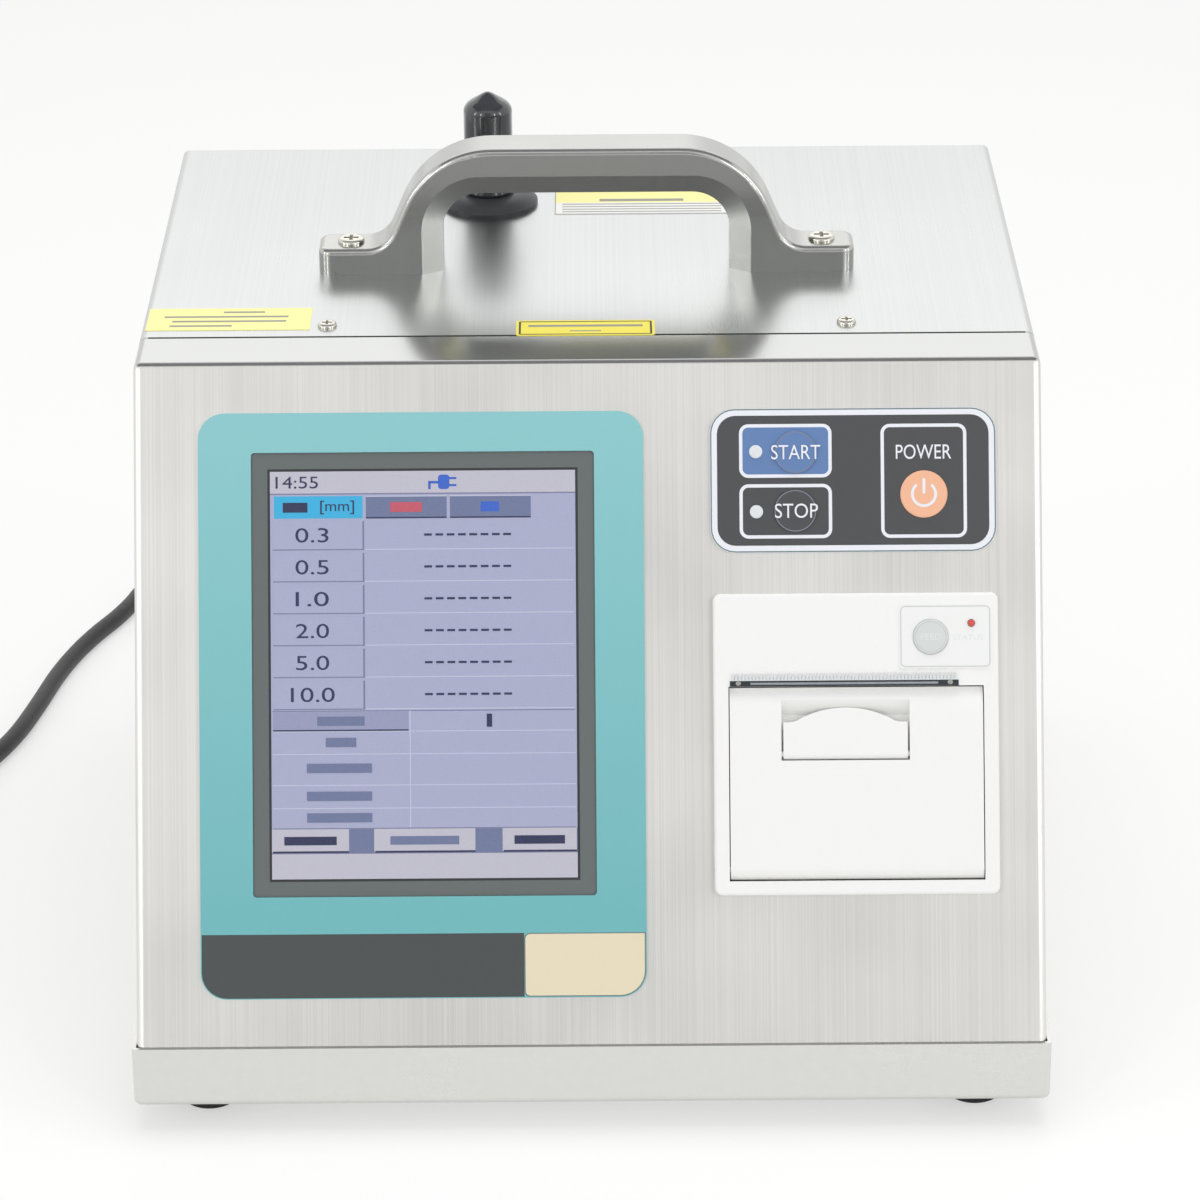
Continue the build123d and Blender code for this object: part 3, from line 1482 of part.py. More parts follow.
def lead_tube(points):
    """Plain round lead along straight runs joined by tangent arcs."""
    with BuildPart() as tube:
        with BuildLine() as route:
            FilletPolyline(*points, radius=lead_radii(points))
        with BuildSketch(Plane(route.line @ 0, z_dir=route.line % 0)):
            Circle(lead_radius)
        sweep()
    length = sum(edge.length for edge in route.edges())
    ratio = tube.part.volume / (pi * lead_radius**2 * length)
    print(f"lead {length:.1f} mm, volume over section times length {ratio:.4f}")
    print("radii", [round(radius) for radius in lead_radii(points)])
    return tube


cord_lead = lead_tube(lead_route)
save(cord_lead, "cord_lead")

coil_height = 2 * lead_radius * coil_layers
tie_width, tie_band = 6.0, 1.0
coil_middle = (coil_inner + coil_outer) / 2
coil_band = coil_outer - coil_inner
with BuildPart() as cord_coil:
    with BuildSketch():
        with Locations((coil_x, coil_y)):
            Circle(coil_outer)
            Circle(coil_inner, mode=Mode.SUBTRACT)
    extrude(amount=coil_height)
    fillet(cord_coil.edges(), lead_radius * 0.8)
    # waist where the tie goes round
    with BuildSketch(Plane.XY):
        with Locations((coil_x, coil_y + coil_middle)):
            Rectangle(tie_width, coil_band + 4 * tie_band)
    extrude(amount=tie_band, mode=Mode.SUBTRACT)
save(cord_coil, "cord_coil")

with BuildPart() as cord_tie:
    with BuildSketch(Plane.YZ.offset(coil_x)):
        with Locations((coil_y + coil_middle, coil_height / 2 + tie_band / 2)):
            RectangleRounded(coil_band + 2 * tie_band + 4 * slide_fit, coil_height + tie_band, lead_radius)
            Rectangle(coil_band + 2 * slide_fit, coil_height - tie_band, mode=Mode.SUBTRACT)
    extrude(amount=tie_width / 2 - hole_fit, both=True)
save(cord_tie, "cord_tie")

tail_z = 8.0
tail_x = coil_x - coil_middle
tail_route = [
    (tail_x - 4.0, coil_y - 2.0, coil_height - lead_radius),
    (tail_x - 6.0, coil_y + 26.0, coil_height - lead_radius),
    (tail_x - 13.0, coil_y + 52.0, tail_z),
    (tail_x - 17.0, coil_y + 76.0, tail_z),
]
cord_tail = lead_tube(tail_route)
save(cord_tail, "cord_tail")

plug_width, plug_height, plug_round = 25.0, 15.0, 5.0
blade_gap, blade_width, blade_thick, blade_length = 12.7, 6.3, 1.5, 17.0
tail_end = Vector(tail_route[-1])
tail_heading = (tail_end - Vector(tail_route[-2])).normalized()
plug_place = Plane(tail_end, x_dir=tail_heading.cross(Vector(0, 0, 1)), z_dir=tail_heading)
with BuildPart() as cord_plug:
    with BuildSketch(plug_place):
        Circle(lead_radius + 0.6)
    with BuildSketch(plug_place.offset(plug_relief_length)):
        Circle(5.4)
    loft()
    with BuildSketch(plug_place.offset(plug_relief_length)):
        RectangleRounded(plug_width * 0.7, plug_height, plug_round)
    with BuildSketch(plug_place.offset(plug_relief_length + plug_length / 2)):
        RectangleRounded(plug_width, plug_height, plug_round)
    loft()
    with BuildSketch(plug_place.offset(plug_relief_length + plug_length / 2)):
        RectangleRounded(plug_width, plug_height, plug_round)
    extrude(amount=plug_length / 2)
    with BuildSketch(plug_place.offset(plug_relief_length + plug_length)):
        with GridLocations(blade_gap, 0, 2, 1):
            Rectangle(blade_thick, blade_width)
    extrude(amount=blade_length)
save(cord_plug, "cord_plug")
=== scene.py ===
# %% [markdown]
# # An airborne particle counter
# A pump inside this steel case draws room air past a laser, and the front shows how many specks each
# litre holds. The metal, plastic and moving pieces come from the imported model. This lesson gives them
# their finishes, and adds the print, the screen, the lead, the cap's soft dome and the studio.

# %% Load the frame
import bmesh
import bpy
import numpy as np
from mathutils import Matrix, Vector


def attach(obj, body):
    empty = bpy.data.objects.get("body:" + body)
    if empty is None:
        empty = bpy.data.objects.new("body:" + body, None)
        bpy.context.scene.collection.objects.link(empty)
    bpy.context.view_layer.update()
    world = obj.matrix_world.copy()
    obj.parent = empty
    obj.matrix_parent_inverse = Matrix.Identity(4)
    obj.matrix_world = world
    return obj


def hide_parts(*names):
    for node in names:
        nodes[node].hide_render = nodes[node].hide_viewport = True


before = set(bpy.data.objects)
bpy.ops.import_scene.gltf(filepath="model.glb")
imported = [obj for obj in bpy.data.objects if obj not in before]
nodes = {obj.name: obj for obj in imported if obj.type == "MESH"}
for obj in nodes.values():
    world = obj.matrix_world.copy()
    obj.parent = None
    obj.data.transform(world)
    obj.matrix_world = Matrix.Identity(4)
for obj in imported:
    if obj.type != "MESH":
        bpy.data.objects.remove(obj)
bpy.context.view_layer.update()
MM = 0.001
print("loaded", len(nodes), "nodes")

# %% [markdown]
# The camera stands a little above the case and looks down at it with a long lens, as a catalogue picture
# does. A focal length in pixels becomes millimetres by the width of the sensor. Its three axes are worked
# out from pitch, yaw and roll, so that no target object is needed.

# %% Camera
def camera_axes(pitch, yaw, roll):
    """Forward is (sin yaw cos pitch, cos yaw cos pitch, -sin pitch); right and up are then turned by roll."""
    forward = np.array([np.sin(yaw) * np.cos(pitch), np.cos(yaw) * np.cos(pitch), -np.sin(pitch)])
    right = np.array([np.cos(yaw), -np.sin(yaw), 0.0])
    up = np.cross(right, forward)
    turned_right = np.cos(roll) * right + np.sin(roll) * up
    turned_up = -np.sin(roll) * right + np.cos(roll) * up
    return turned_right, turned_up, forward


IMAGE_PIXELS = 1200
FOCAL_PIXELS = 4579.5
SENSOR_WIDTH = 36.0
CAMERA_PLACE = (1.30, -1255.57, 683.75)
CAMERA_PITCH, CAMERA_YAW, CAMERA_ROLL = 24.804, 0.093, -0.3676
right, up, forward = camera_axes(np.radians(CAMERA_PITCH), np.radians(CAMERA_YAW), np.radians(CAMERA_ROLL))
camera_data = bpy.data.cameras.new("studio_camera")
camera_data.sensor_width = SENSOR_WIDTH
camera_data.lens = FOCAL_PIXELS * camera_data.sensor_width / IMAGE_PIXELS
camera = bpy.data.objects.new("studio_camera", camera_data)
bpy.context.scene.collection.objects.link(camera)
turn = np.eye(4)
turn[:3, 0], turn[:3, 1], turn[:3, 2] = right, up, -forward
turn[:3, 3] = np.array(CAMERA_PLACE) * MM
camera.matrix_world = Matrix(turn.tolist())
bpy.context.scene.camera = camera
print("lens", round(camera_data.lens, 2), "mm")

# %% [markdown]
# The mains lead is one length of round vinyl cable. It leaves the inlet at the back, falls to the table,
# runs forward beside the case, and its spare length is wound in a coil of two layers, as for storage. A
# NURBS curve follows a few points and rounds every corner by itself. The coil's points come from one rule:
# the angle runs clockwise at an even rate, and the radius shrinks by just over a lead's width each turn in
# the lower layer, then grows again in the upper one.

# %% The mains lead
LEAD_RADIUS, LEAD_LENGTH = 3.0, 1.75
LEAD_ROUTE = [(-80, 178, 45), (-80, 206, 45), (-81.5, 235, 37), (-96, 256, 23), (-119.5, 262, 9),
              (-143, 256, 3), (-157.5, 236, 3), (-163.5, 211, 3), (-174.5, 187.5, 3), (-182, 162.5, 3),
              (-186.5, 136, 3), (-192, 110, 3), (-201.5, 87, 3), (-208, 63, 3)]
TAIL_ROUTE = [(-291.5, 84, 9), (-298.5, 110, 8), (-302.5, 134, 8)]
COIL_CENTRE = (-252.0, 58.0)
TURNS_LOW, TURNS_RISE, TURNS_HIGH = 3.4, 0.5, 2.53
TURN_PITCH = 6.25
OUTER_RADIUS, RISE_RADIUS = 45.0, 22.6
POINTS_PER_TURN = 16
START_ANGLE, TIE_ANGLE = -12.0, 90.0
TIE_BUMP, TIE_SPREAD = 1.0, 0.4


def coil_points(start_angle, tie_angle):
    """x = cx + r cos a, y = cy + r sin a; a falls evenly, r falls, holds during the climb, then grows by one
    pitch a turn, and z steps up one layer, with a bump of 1 mm where the tie passes underneath."""
    total = TURNS_LOW + TURNS_RISE + TURNS_HIGH
    turn_number = np.linspace(0.0, total, int(total * POINTS_PER_TURN) + 1)
    inner = OUTER_RADIUS - TURN_PITCH * TURNS_LOW
    high_turns = turn_number - TURNS_LOW - TURNS_RISE
    radius = np.where(turn_number < TURNS_LOW, OUTER_RADIUS - TURN_PITCH * turn_number,
                      np.where(high_turns < 0, RISE_RADIUS, inner + TURN_PITCH * high_turns))
    climb = np.clip((turn_number - TURNS_LOW) / TURNS_RISE, 0, 1)
    angle = start_angle - 2 * np.pi * turn_number
    off_tie = np.angle(np.exp(1j * (angle - tie_angle)))
    height = LEAD_RADIUS * (1 + 2 * climb) + TIE_BUMP * np.exp(-(off_tie / TIE_SPREAD) ** 2)
    return np.stack([COIL_CENTRE[0] + radius * np.cos(angle), COIL_CENTRE[1] + radius * np.sin(angle),
                     height], 1)


coil = coil_points(np.radians(START_ANGLE), np.radians(TIE_ANGLE))
lead_points = np.vstack([LEAD_ROUTE, coil, TAIL_ROUTE]) * MM
lead_curve = bpy.data.curves.new("mains_lead", "CURVE")
lead_curve.dimensions = "3D"
lead_curve.bevel_depth = 1.0
lead_curve.bevel_resolution = 5
lead_curve.resolution_u = 6
lead_spline = lead_curve.splines.new("NURBS")
lead_spline.points.add(len(lead_points) - 1)
lead_spline.points.foreach_set("co", np.hstack([lead_points, np.ones((len(lead_points), 1))]).ravel())
lead_spline.points.foreach_set("radius", np.full(len(lead_points), LEAD_RADIUS * MM))
lead_spline.order_u = 3
lead_spline.use_endpoint_u = True
mains_lead = bpy.data.objects.new("mains_lead", lead_curve)
bpy.context.scene.collection.objects.link(mains_lead)
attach(mains_lead, "case")
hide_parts("cord_lead", "cord_coil", "cord_tail")
run = np.linalg.norm(np.diff(lead_points, axis=0), axis=1).sum()
print("lead of", len(lead_points), "points,", round(float(run), 3), "m along its corners")

# %% [markdown]
# Every added piece is a loft: a stack of rings with the same number of points, joined by quads. A plate is
# two rings and a cap at each end, and a thin line round a field is a loft that closes on itself. Labels,
# frames, discs and bars then need no other tool, and the arrays hold all their points at once.

# %% Mesh helpers
def loft(name, rings, finish, body="case", around=False):
    """Rings is (rows, points, 3) in metres; quad (i, j) joins ring i and i + 1. Flat caps close the ends."""
    rings = np.asarray(rings, float)
    rows, count = rings.shape[:2]
    row, point = np.meshgrid(np.arange(rows if around else rows - 1), np.arange(count), indexing="ij")
    after, next_row = (point + 1) % count, (row + 1) % rows
    quads = np.stack([row * count + point, row * count + after, next_row * count + after,
                      next_row * count + point], -1).reshape(-1, 4).tolist()
    caps = [] if around else [list(range(count))[::-1], list(range((rows - 1) * count, rows * count))]
    mesh = bpy.data.meshes.new(name)
    mesh.from_pydata(rings.reshape(-1, 3).tolist(), [], quads + caps)
    return dress_mesh(name, mesh, finish, body)


def dress_mesh(name, mesh, finish, body):
    """Turns the faces outwards, gives the mesh its finish, and lets the object ride on its body."""
    work = bmesh.new()
    work.from_mesh(mesh)
    bmesh.ops.recalc_face_normals(work, faces=work.faces)
    work.to_mesh(mesh)
    work.free()
    mesh.materials.append(finish)
    piece = bpy.data.objects.new(name, mesh)
    bpy.context.scene.collection.objects.link(piece)
    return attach(piece, body)


def rounded(width, height, radii, steps=8):
    """Outline of a rectangle whose corner k is an arc of radii[k], as (points, 2), counter-clockwise from
    the upper right corner: corner centre + radius (cos a, sin a)."""
    radii = np.broadcast_to(np.asarray(radii, float), (4,))
    side_x, side_y = np.array([1, -1, -1, 1]), np.array([1, 1, -1, -1])
    angle = np.linspace(0, np.pi / 2, steps) + np.arange(4)[:, None] * np.pi / 2
    across = side_x[:, None] * (width / 2 - radii[:, None]) + radii[:, None] * np.cos(angle)
    along = side_y[:, None] * (height / 2 - radii[:, None]) + radii[:, None] * np.sin(angle)
    return np.stack([across.ravel(), along.ravel()], 1)


FACE_LEAN = np.radians(25.8)
CASE_TOP = 201.0
FACE_FOOT_Y, FACE_RISE = -133.7, 174.0
FACE_TOP_Y = FACE_FOOT_Y + FACE_RISE * np.tan(FACE_LEAN)


def on_face(across, down, out):
    """x = across, y = top edge - down sin(lean) - out cos(lean), z = top - down cos(lean) + out sin(lean)."""
    across, down, out = np.broadcast_arrays(across, down, out)
    return MM * np.stack([across, FACE_TOP_Y - down * np.sin(FACE_LEAN) - out * np.cos(FACE_LEAN),
                          CASE_TOP - down * np.cos(FACE_LEAN) + out * np.sin(FACE_LEAN)], -1)


def on_top(across, forward_y, out):
    """x = across, y = -forward, z = case top + out: the flat lid, measured towards the front."""
    across, forward_y, out = np.broadcast_arrays(across, forward_y, out)
    return MM * np.stack([across, -forward_y, CASE_TOP + out], -1)


def plate(name, centre, size, radius, low, high, finish, body="case", place=on_face, edge=0.0):
    """A flat plate: its outline at the low and high level, with a small chamfer at the top edge."""
    ring = rounded(size[0], size[1], radius)
    small_radius = np.maximum(np.asarray(radius, float) - edge, 0.01)
    small = rounded(size[0] - 2 * edge, size[1] - 2 * edge, small_radius)
    stack = [(ring, low), (ring, high - edge), (small, high)] if edge else [(ring, low), (ring, high)]
    rings = [place(centre[0] + r[:, 0], centre[1] - r[:, 1], w) for r, w in stack]
    return loft(name, rings, finish, body)


def border(name, centre, size, radius, line, low, high, finish, body="case", place=on_face):
    """A thin frame: outer outline low and high, inner outline high and low, joined all the way round."""
    outer = rounded(size[0], size[1], radius)
    inner = rounded(size[0] - 2 * line, size[1] - 2 * line, max(radius - line, 0.01))
    rings = [place(centre[0] + r[:, 0], centre[1] - r[:, 1], w)
             for r, w in ((outer, low), (outer, high), (inner, high), (inner, low))]
    return loft(name, rings, finish, body, around=True)


def lettering(name, text, centre, cap_height, width, low, high, finish, body="case", place=on_face):
    """Printed words: a text curve made mesh, centred, scaled to the cap height and width, then laid on."""
    curve = bpy.data.curves.new(name, "FONT")
    curve.body, curve.extrude, curve.resolution_u = text, 0.5, 4
    source = bpy.data.objects.new(name + "_text", curve)
    mesh = bpy.data.meshes.new_from_object(source)
    bpy.data.objects.remove(source)
    co = np.empty(len(mesh.vertices) * 3, np.float32)
    mesh.vertices.foreach_get("co", co)
    co = co.reshape(-1, 3).astype(float)
    low_corner, high_corner = co.min(0), co.max(0)
    middle, span = (low_corner + high_corner) / 2, high_corner - low_corner
    across = (co[:, 0] - middle[0]) * width / span[0]
    along = (co[:, 1] - middle[1]) * cap_height / span[1]
    co = place(centre[0] + across, centre[1] - along, np.where(co[:, 2] > 0, high, low))
    mesh.vertices.foreach_set("co", co.astype(np.float32).ravel())
    mesh.update()
    return dress_mesh(name, mesh, finish, body)

# %% [markdown]
# Finishes share one recipe: a base colour that drifts a little from place to place, a roughness that
# drifts with it, and a fine bump. The noise is read in object coordinates. For brushed steel the noise is
# drawn out along the direction in which the belt ran, and the highlight is spread across it. That direction
# is x, with a trace of z for the side walls: their normal is x itself, and leaves no direction across it.

# %% Finish helper
def tone(red, green, blue):
    """A colour given in display bytes as linear light: c/12.92 below 0.04045, ((c+0.055)/1.055)^2.4 above."""
    c = np.array([red, green, blue]) / 255.0
    linear = np.where(c <= 0.04045, c / 12.92, ((c + 0.055) / 1.055) ** 2.4)
    return (*linear.tolist(), 1.0)


ACROSS_LINES = (1.0, 0.0, 0.01)
COAT_ROUGHNESS = 0.08
FINE_RANGE, WIDE_RANGE = (0.3, 0.7), (0.35, 0.65)
FINE_SHARE, WIDE_SHARE = 0.35, 0.65


def set_range(node, end, low, high):
    """Sets the ends of a map range: end is From or To."""
    node.inputs[end + " Min"].default_value = low
    node.inputs[end + " Max"].default_value = high


def finish(name, colour, roughness, metallic=0.0, cell=(1, 1, 1), drift=0.04, rough_drift=0.04, bump=0.0,
           detail=3.0, coat=0.0, anisotropic=0.0, smudge=0.0, specular=0.5, fade=None, polish=None):
    """Noise in cells of the given size in mm drives colour (1 +- drift), roughness (+- rough_drift) and bump
    height in mm; smudge adds wide patches of roughness, of that size in mm. fade is (colour, low z, high z):
    the base turns to that colour going up. polish is (z, roughness): the roughness above a height."""
    material = bpy.data.materials.new(name)
    material.use_nodes = True
    tree = material.node_tree
    add, link = tree.nodes.new, tree.links.new
    shader = tree.nodes["Principled BSDF"]
    shader.inputs["Metallic"].default_value = metallic
    shader.inputs["Coat Weight"].default_value = coat
    shader.inputs["Coat Roughness"].default_value = COAT_ROUGHNESS
    shader.inputs["Anisotropic"].default_value = anisotropic
    shader.inputs["Specular IOR Level"].default_value = specular
    place = add("ShaderNodeTexCoord")
    mapping = add("ShaderNodeMapping")
    mapping.vector_type = "TEXTURE"
    mapping.inputs["Scale"].default_value = tuple(c * MM for c in cell)
    link(place.outputs["Object"], mapping.inputs["Vector"])
    noise = add("ShaderNodeTexNoise")
    noise.inputs["Scale"].default_value = 1.0
    noise.inputs["Detail"].default_value = detail
    link(mapping.outputs["Vector"], noise.inputs["Vector"])
    blend = add("ShaderNodeMix")
    blend.data_type = "RGBA"
    base = np.array(colour[:3])
    blend.inputs["A"].default_value = (*(base * (1 - drift)).tolist(), 1)
    blend.inputs["B"].default_value = (*np.clip(base * (1 + drift), 0, 1).tolist(), 1)
    spread = add("ShaderNodeMapRange")
    set_range(spread, "From", *FINE_RANGE)
    link(noise.outputs["Fac"], spread.inputs["Value"])
    link(spread.outputs["Result"], blend.inputs["Factor"])
    height = add("ShaderNodeSeparateXYZ")
    link(place.outputs["Object"], height.inputs["Vector"])
    base_colour = blend.outputs["Result"]
    if fade:
        rise, shift = add("ShaderNodeMapRange"), add("ShaderNodeMix")
        shift.data_type = "RGBA"
        set_range(rise, "From", fade[1] * MM, fade[2] * MM)
        link(height.outputs["Z"], rise.inputs["Value"])
        link(rise.outputs["Result"], shift.inputs["Factor"])
        link(base_colour, shift.inputs["A"])
        shift.inputs["B"].default_value = fade[0]
        base_colour = shift.outputs["Result"]
    link(base_colour, shader.inputs["Base Color"])
    rough = add("ShaderNodeMapRange")
    set_range(rough, "To", max(roughness - rough_drift, 0.02), min(roughness + rough_drift, 1.0))
    rough_source = spread.outputs["Result"]
    if smudge:
        wide = add("ShaderNodeTexNoise")
        wide.inputs["Scale"].default_value = 1 / (smudge * MM)
        wide.inputs["Detail"].default_value = 2.0
        link(place.outputs["Object"], wide.inputs["Vector"])
        both = add("ShaderNodeMath")
        both.operation = "MULTIPLY_ADD"
        both.inputs[1].default_value = FINE_SHARE
        link(spread.outputs["Result"], both.inputs[0])
        wide_part = add("ShaderNodeMapRange")
        set_range(wide_part, "From", *WIDE_RANGE)
        set_range(wide_part, "To", 0.0, WIDE_SHARE)
        link(wide.outputs["Fac"], wide_part.inputs["Value"])
        link(wide_part.outputs["Result"], both.inputs[2])
        rough_source = both.outputs["Value"]
    link(rough_source, rough.inputs["Value"])
    rough_value = rough.outputs["Result"]
    if polish:
        above, choose = add("ShaderNodeMath"), add("ShaderNodeMix")
        above.operation = "GREATER_THAN"
        above.inputs[1].default_value = polish[0] * MM
        link(height.outputs["Z"], above.inputs[0])
        link(above.outputs["Value"], choose.inputs["Factor"])
        link(rough_value, choose.inputs["A"])
        choose.inputs["B"].default_value = polish[1]
        rough_value = choose.outputs["Result"]
    link(rough_value, shader.inputs["Roughness"])
    if bump:
        relief = add("ShaderNodeBump")
        relief.inputs["Strength"].default_value = 1.0
        relief.inputs["Distance"].default_value = bump * MM
        link(noise.outputs["Fac"], relief.inputs["Height"])
        link(relief.outputs["Normal"], shader.inputs["Normal"])
    if anisotropic:
        across = add("ShaderNodeCombineXYZ")
        for axis, value in zip("XYZ", ACROSS_LINES):
            across.inputs[axis].default_value = value
        link(across.outputs["Vector"], shader.inputs["Tangent"])
    return material


def dress(finish_made, *names):
    """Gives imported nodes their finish."""
    for name in names:
        nodes[name].data.materials.clear()
        nodes[name].data.materials.append(finish_made)

# %% [markdown]
# The case is folded from stainless sheet. The leaning front was belt-brushed from top to bottom, the lid
# from front to back, and the tray kept the plain milled face of the sheet, so it gets no lines. Brushing
# scatters light across its lines, which is what anisotropy stands for. The strip where the front sheet
# folds over on top is smoother and a little darker, so the front's finish changes at that height.

# %% Sheet steel
FADE_START, POLISH_START, FADE_END = 200.2, 200.4, 200.5
front_steel = finish("front_steel", tone(223, 222, 218), 0.36, 1.0, cell=(0.35, 260, 260), drift=0.05,
                     rough_drift=0.05, bump=0.0012, detail=4, anisotropic=0.6, smudge=60,
                     polish=(POLISH_START, 0.17), fade=(tone(188, 189, 187), FADE_START, FADE_END))
lid_steel = finish("lid_steel", tone(203, 205, 204), 0.29, 1.0, cell=(0.4, 500, 500), drift=0.03,
                   rough_drift=0.02, bump=0.0, detail=2, anisotropic=0.5, smudge=45)
tray_steel = finish("tray_steel", tone(220, 220, 216), 0.3, 1.0, cell=(3, 3, 3), drift=0.015,
                    rough_drift=0.04, bump=0.0007, detail=3, smudge=35)
dress(front_steel, "front_panel")
dress(lid_steel, "top_cover", "rear_panel")
dress(tray_steel, "base_tray", "sensor_bracket")
print("sheet steel dressed")

# %% [markdown]
# The handle is a casting, blasted and plated, so it is smooth with a faint cloudiness. Screws are bright
# nickel. The cap on the inlet is dipped vinyl with a deep gloss, and the flange under it is satin plastic.

# %% Handle, screws, rubber and plastics
handle_metal = finish("handle_metal", tone(187, 187, 184), 0.17, 1.0, cell=(0.5, 0.5, 0.5), drift=0.02,
                      rough_drift=0.04, bump=0.0012, smudge=25)
screw_nickel = finish("screw_nickel", tone(214, 212, 202), 0.2, 1.0, cell=(0.2, 0.2, 0.2), bump=0.002)
foot_rubber = finish("foot_rubber", tone(38, 38, 40), 0.8, cell=(0.4, 0.4, 0.4), bump=0.03)
cap_vinyl = finish("cap_vinyl", tone(44, 46, 52), 0.14, cell=(4, 4, 4), rough_drift=0.04, bump=0.02, coat=1.0)
flange_plastic = finish("flange_plastic", tone(52, 54, 57), 0.38, cell=(0.3, 0.3, 0.3), bump=0.01)
printer_plastic = finish("printer_plastic", tone(244, 244, 242), 0.5, cell=(0.25, 0.25, 0.25), drift=0.008,
                         bump=0.006, specular=0.4)
lead_vinyl = finish("lead_vinyl", tone(30, 30, 32), 0.42, cell=(2, 2, 2), bump=0.02)
dress(handle_metal, "handle")
dress(screw_nickel, "handle_screws", "cover_screws", "rear_screws", "foot_screws", "tear_bar_screws",
      "hinge_pin", "platen_shaft", "inlet_nozzle", "serial_port")
dress(foot_rubber, "feet", "pump_mounts", "platen_roller")
dress(flange_plastic, "inlet_flange", "exhaust_port", "power_inlet", "sensor_block")
dress(printer_plastic, "printer_frame", "printer_door", "door_lever")
dress(lead_vinyl, "cord_connector", "cord_strain_relief", "cord_tie", "cord_plug")
mains_lead.data.materials.append(lead_vinyl)
print("handle, screws, rubber and plastics dressed")

# %% [markdown]
# The cap is made by dipping a warm rod in liquid vinyl and pulling it off when set. It hangs tip down as it
# sets, so gravity leaves a small drip on its dome. It is a surface of revolution: each height has one
# radius, and each ring is a circle. The first two rings are the bore, and small flat caps close its
# ceiling and the tip.

# %% The dipped cap
CAP_X, CAP_Y = -30.0, 82.7
CAP_FOOT, CAP_SHOULDER, CAP_TIP = 4.0, 29.9, 36.0
CAP_RADIUS, CAP_BORE, DOME_HEIGHT = 7.5, 5.3, 4.6
FLARE_TOP, FLARE = 10.0, 0.14
DRIP_RADIUS, DRIP_SHARPNESS, TIP_RADIUS = 3.6, 1.6, 0.05
CAP_SIDES = 64


def cap_profile():
    """Rows of (radius, height): the bore, a foot flared as the square of its height, a straight wall,
    r = 7.5 cos t and h = 29.9 + 4.6 sin t for the dome, and a drip that rises as exp(-1.6 (r / 3.6)^2)."""
    foot_height = np.linspace(CAP_FOOT, FLARE_TOP, 8)
    foot_radius = CAP_RADIUS + FLARE * (1 - (foot_height - CAP_FOOT) / (FLARE_TOP - CAP_FOOT)) ** 2
    turn_up = np.linspace(0.0, np.pi / 2, 33)[:-1]
    dome_radius = CAP_RADIUS * np.cos(turn_up)
    dome_height = CAP_SHOULDER + DOME_HEIGHT * np.sin(turn_up)
    tip_rise = CAP_TIP - CAP_SHOULDER - DOME_HEIGHT
    dome_height = dome_height + tip_rise * np.exp(-(dome_radius / DRIP_RADIUS) ** 2 * DRIP_SHARPNESS)
    bore = np.array([[CAP_BORE, CAP_SHOULDER], [CAP_BORE, CAP_FOOT]])
    foot, dome = np.stack([foot_radius, foot_height], 1), np.stack([dome_radius, dome_height], 1)
    return np.vstack([bore, foot, dome, [[TIP_RADIUS, CAP_TIP]]])


cap_turn = np.linspace(0, 2 * np.pi, CAP_SIDES + 1)[:-1]
cap_rings = [np.stack([(CAP_X + r * np.cos(cap_turn)) * MM, (CAP_Y + r * np.sin(cap_turn)) * MM,
                       np.full(CAP_SIDES, (CASE_TOP + h) * MM)], 1) for r, h in cap_profile()]
dipped_cap = loft("dipped_cap", cap_rings, cap_vinyl, body="cap")
dipped_cap.data.polygons.foreach_set("use_smooth", np.ones(len(dipped_cap.data.polygons), bool))
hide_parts("inlet_cap")
print("cap of", len(cap_rings), "rings")

# %% [markdown]
# Inside are circuit boards with green solder mask, a laser module, a pump and clear hoses. They are seen
# only when the printer door is open or the case is taken apart, so each gets a plain honest finish.

# %% Inner pieces
solder_mask = finish("solder_mask", tone(34, 92, 60), 0.35, cell=(2, 2, 2), drift=0.15, bump=0.01, coat=0.3)
plated_frame = finish("plated_frame", tone(178, 180, 182), 0.35, 1.0, cell=(1, 1, 1), bump=0.003)
pump_paint = finish("pump_paint", tone(74, 78, 84), 0.45, cell=(0.6, 0.6, 0.6), bump=0.02)
hose_vinyl = finish("hose_vinyl", tone(206, 210, 208), 0.3, cell=(3, 3, 3), bump=0.01)
white_nylon = finish("white_nylon", tone(232, 233, 230), 0.45, cell=(0.5, 0.5, 0.5), drift=0.02, bump=0.005)
thermal_paper = finish("thermal_paper", tone(243, 243, 240), 0.6, cell=(0.15, 4, 4), drift=0.02, bump=0.01)
dress(solder_mask, "main_board", "keypad_board", "printer_board", "detector_board", "power_supply")
dress(plated_frame, "display_module", "thermal_head", "feed_motor", "laser_module")
dress(pump_paint, "sample_pump")
dress(hose_vinyl, "sample_hose", "exhaust_hose")
dress(white_nylon, "exhaust_filter")
dress(thermal_paper, "paper_roll")
print("inner pieces dressed")
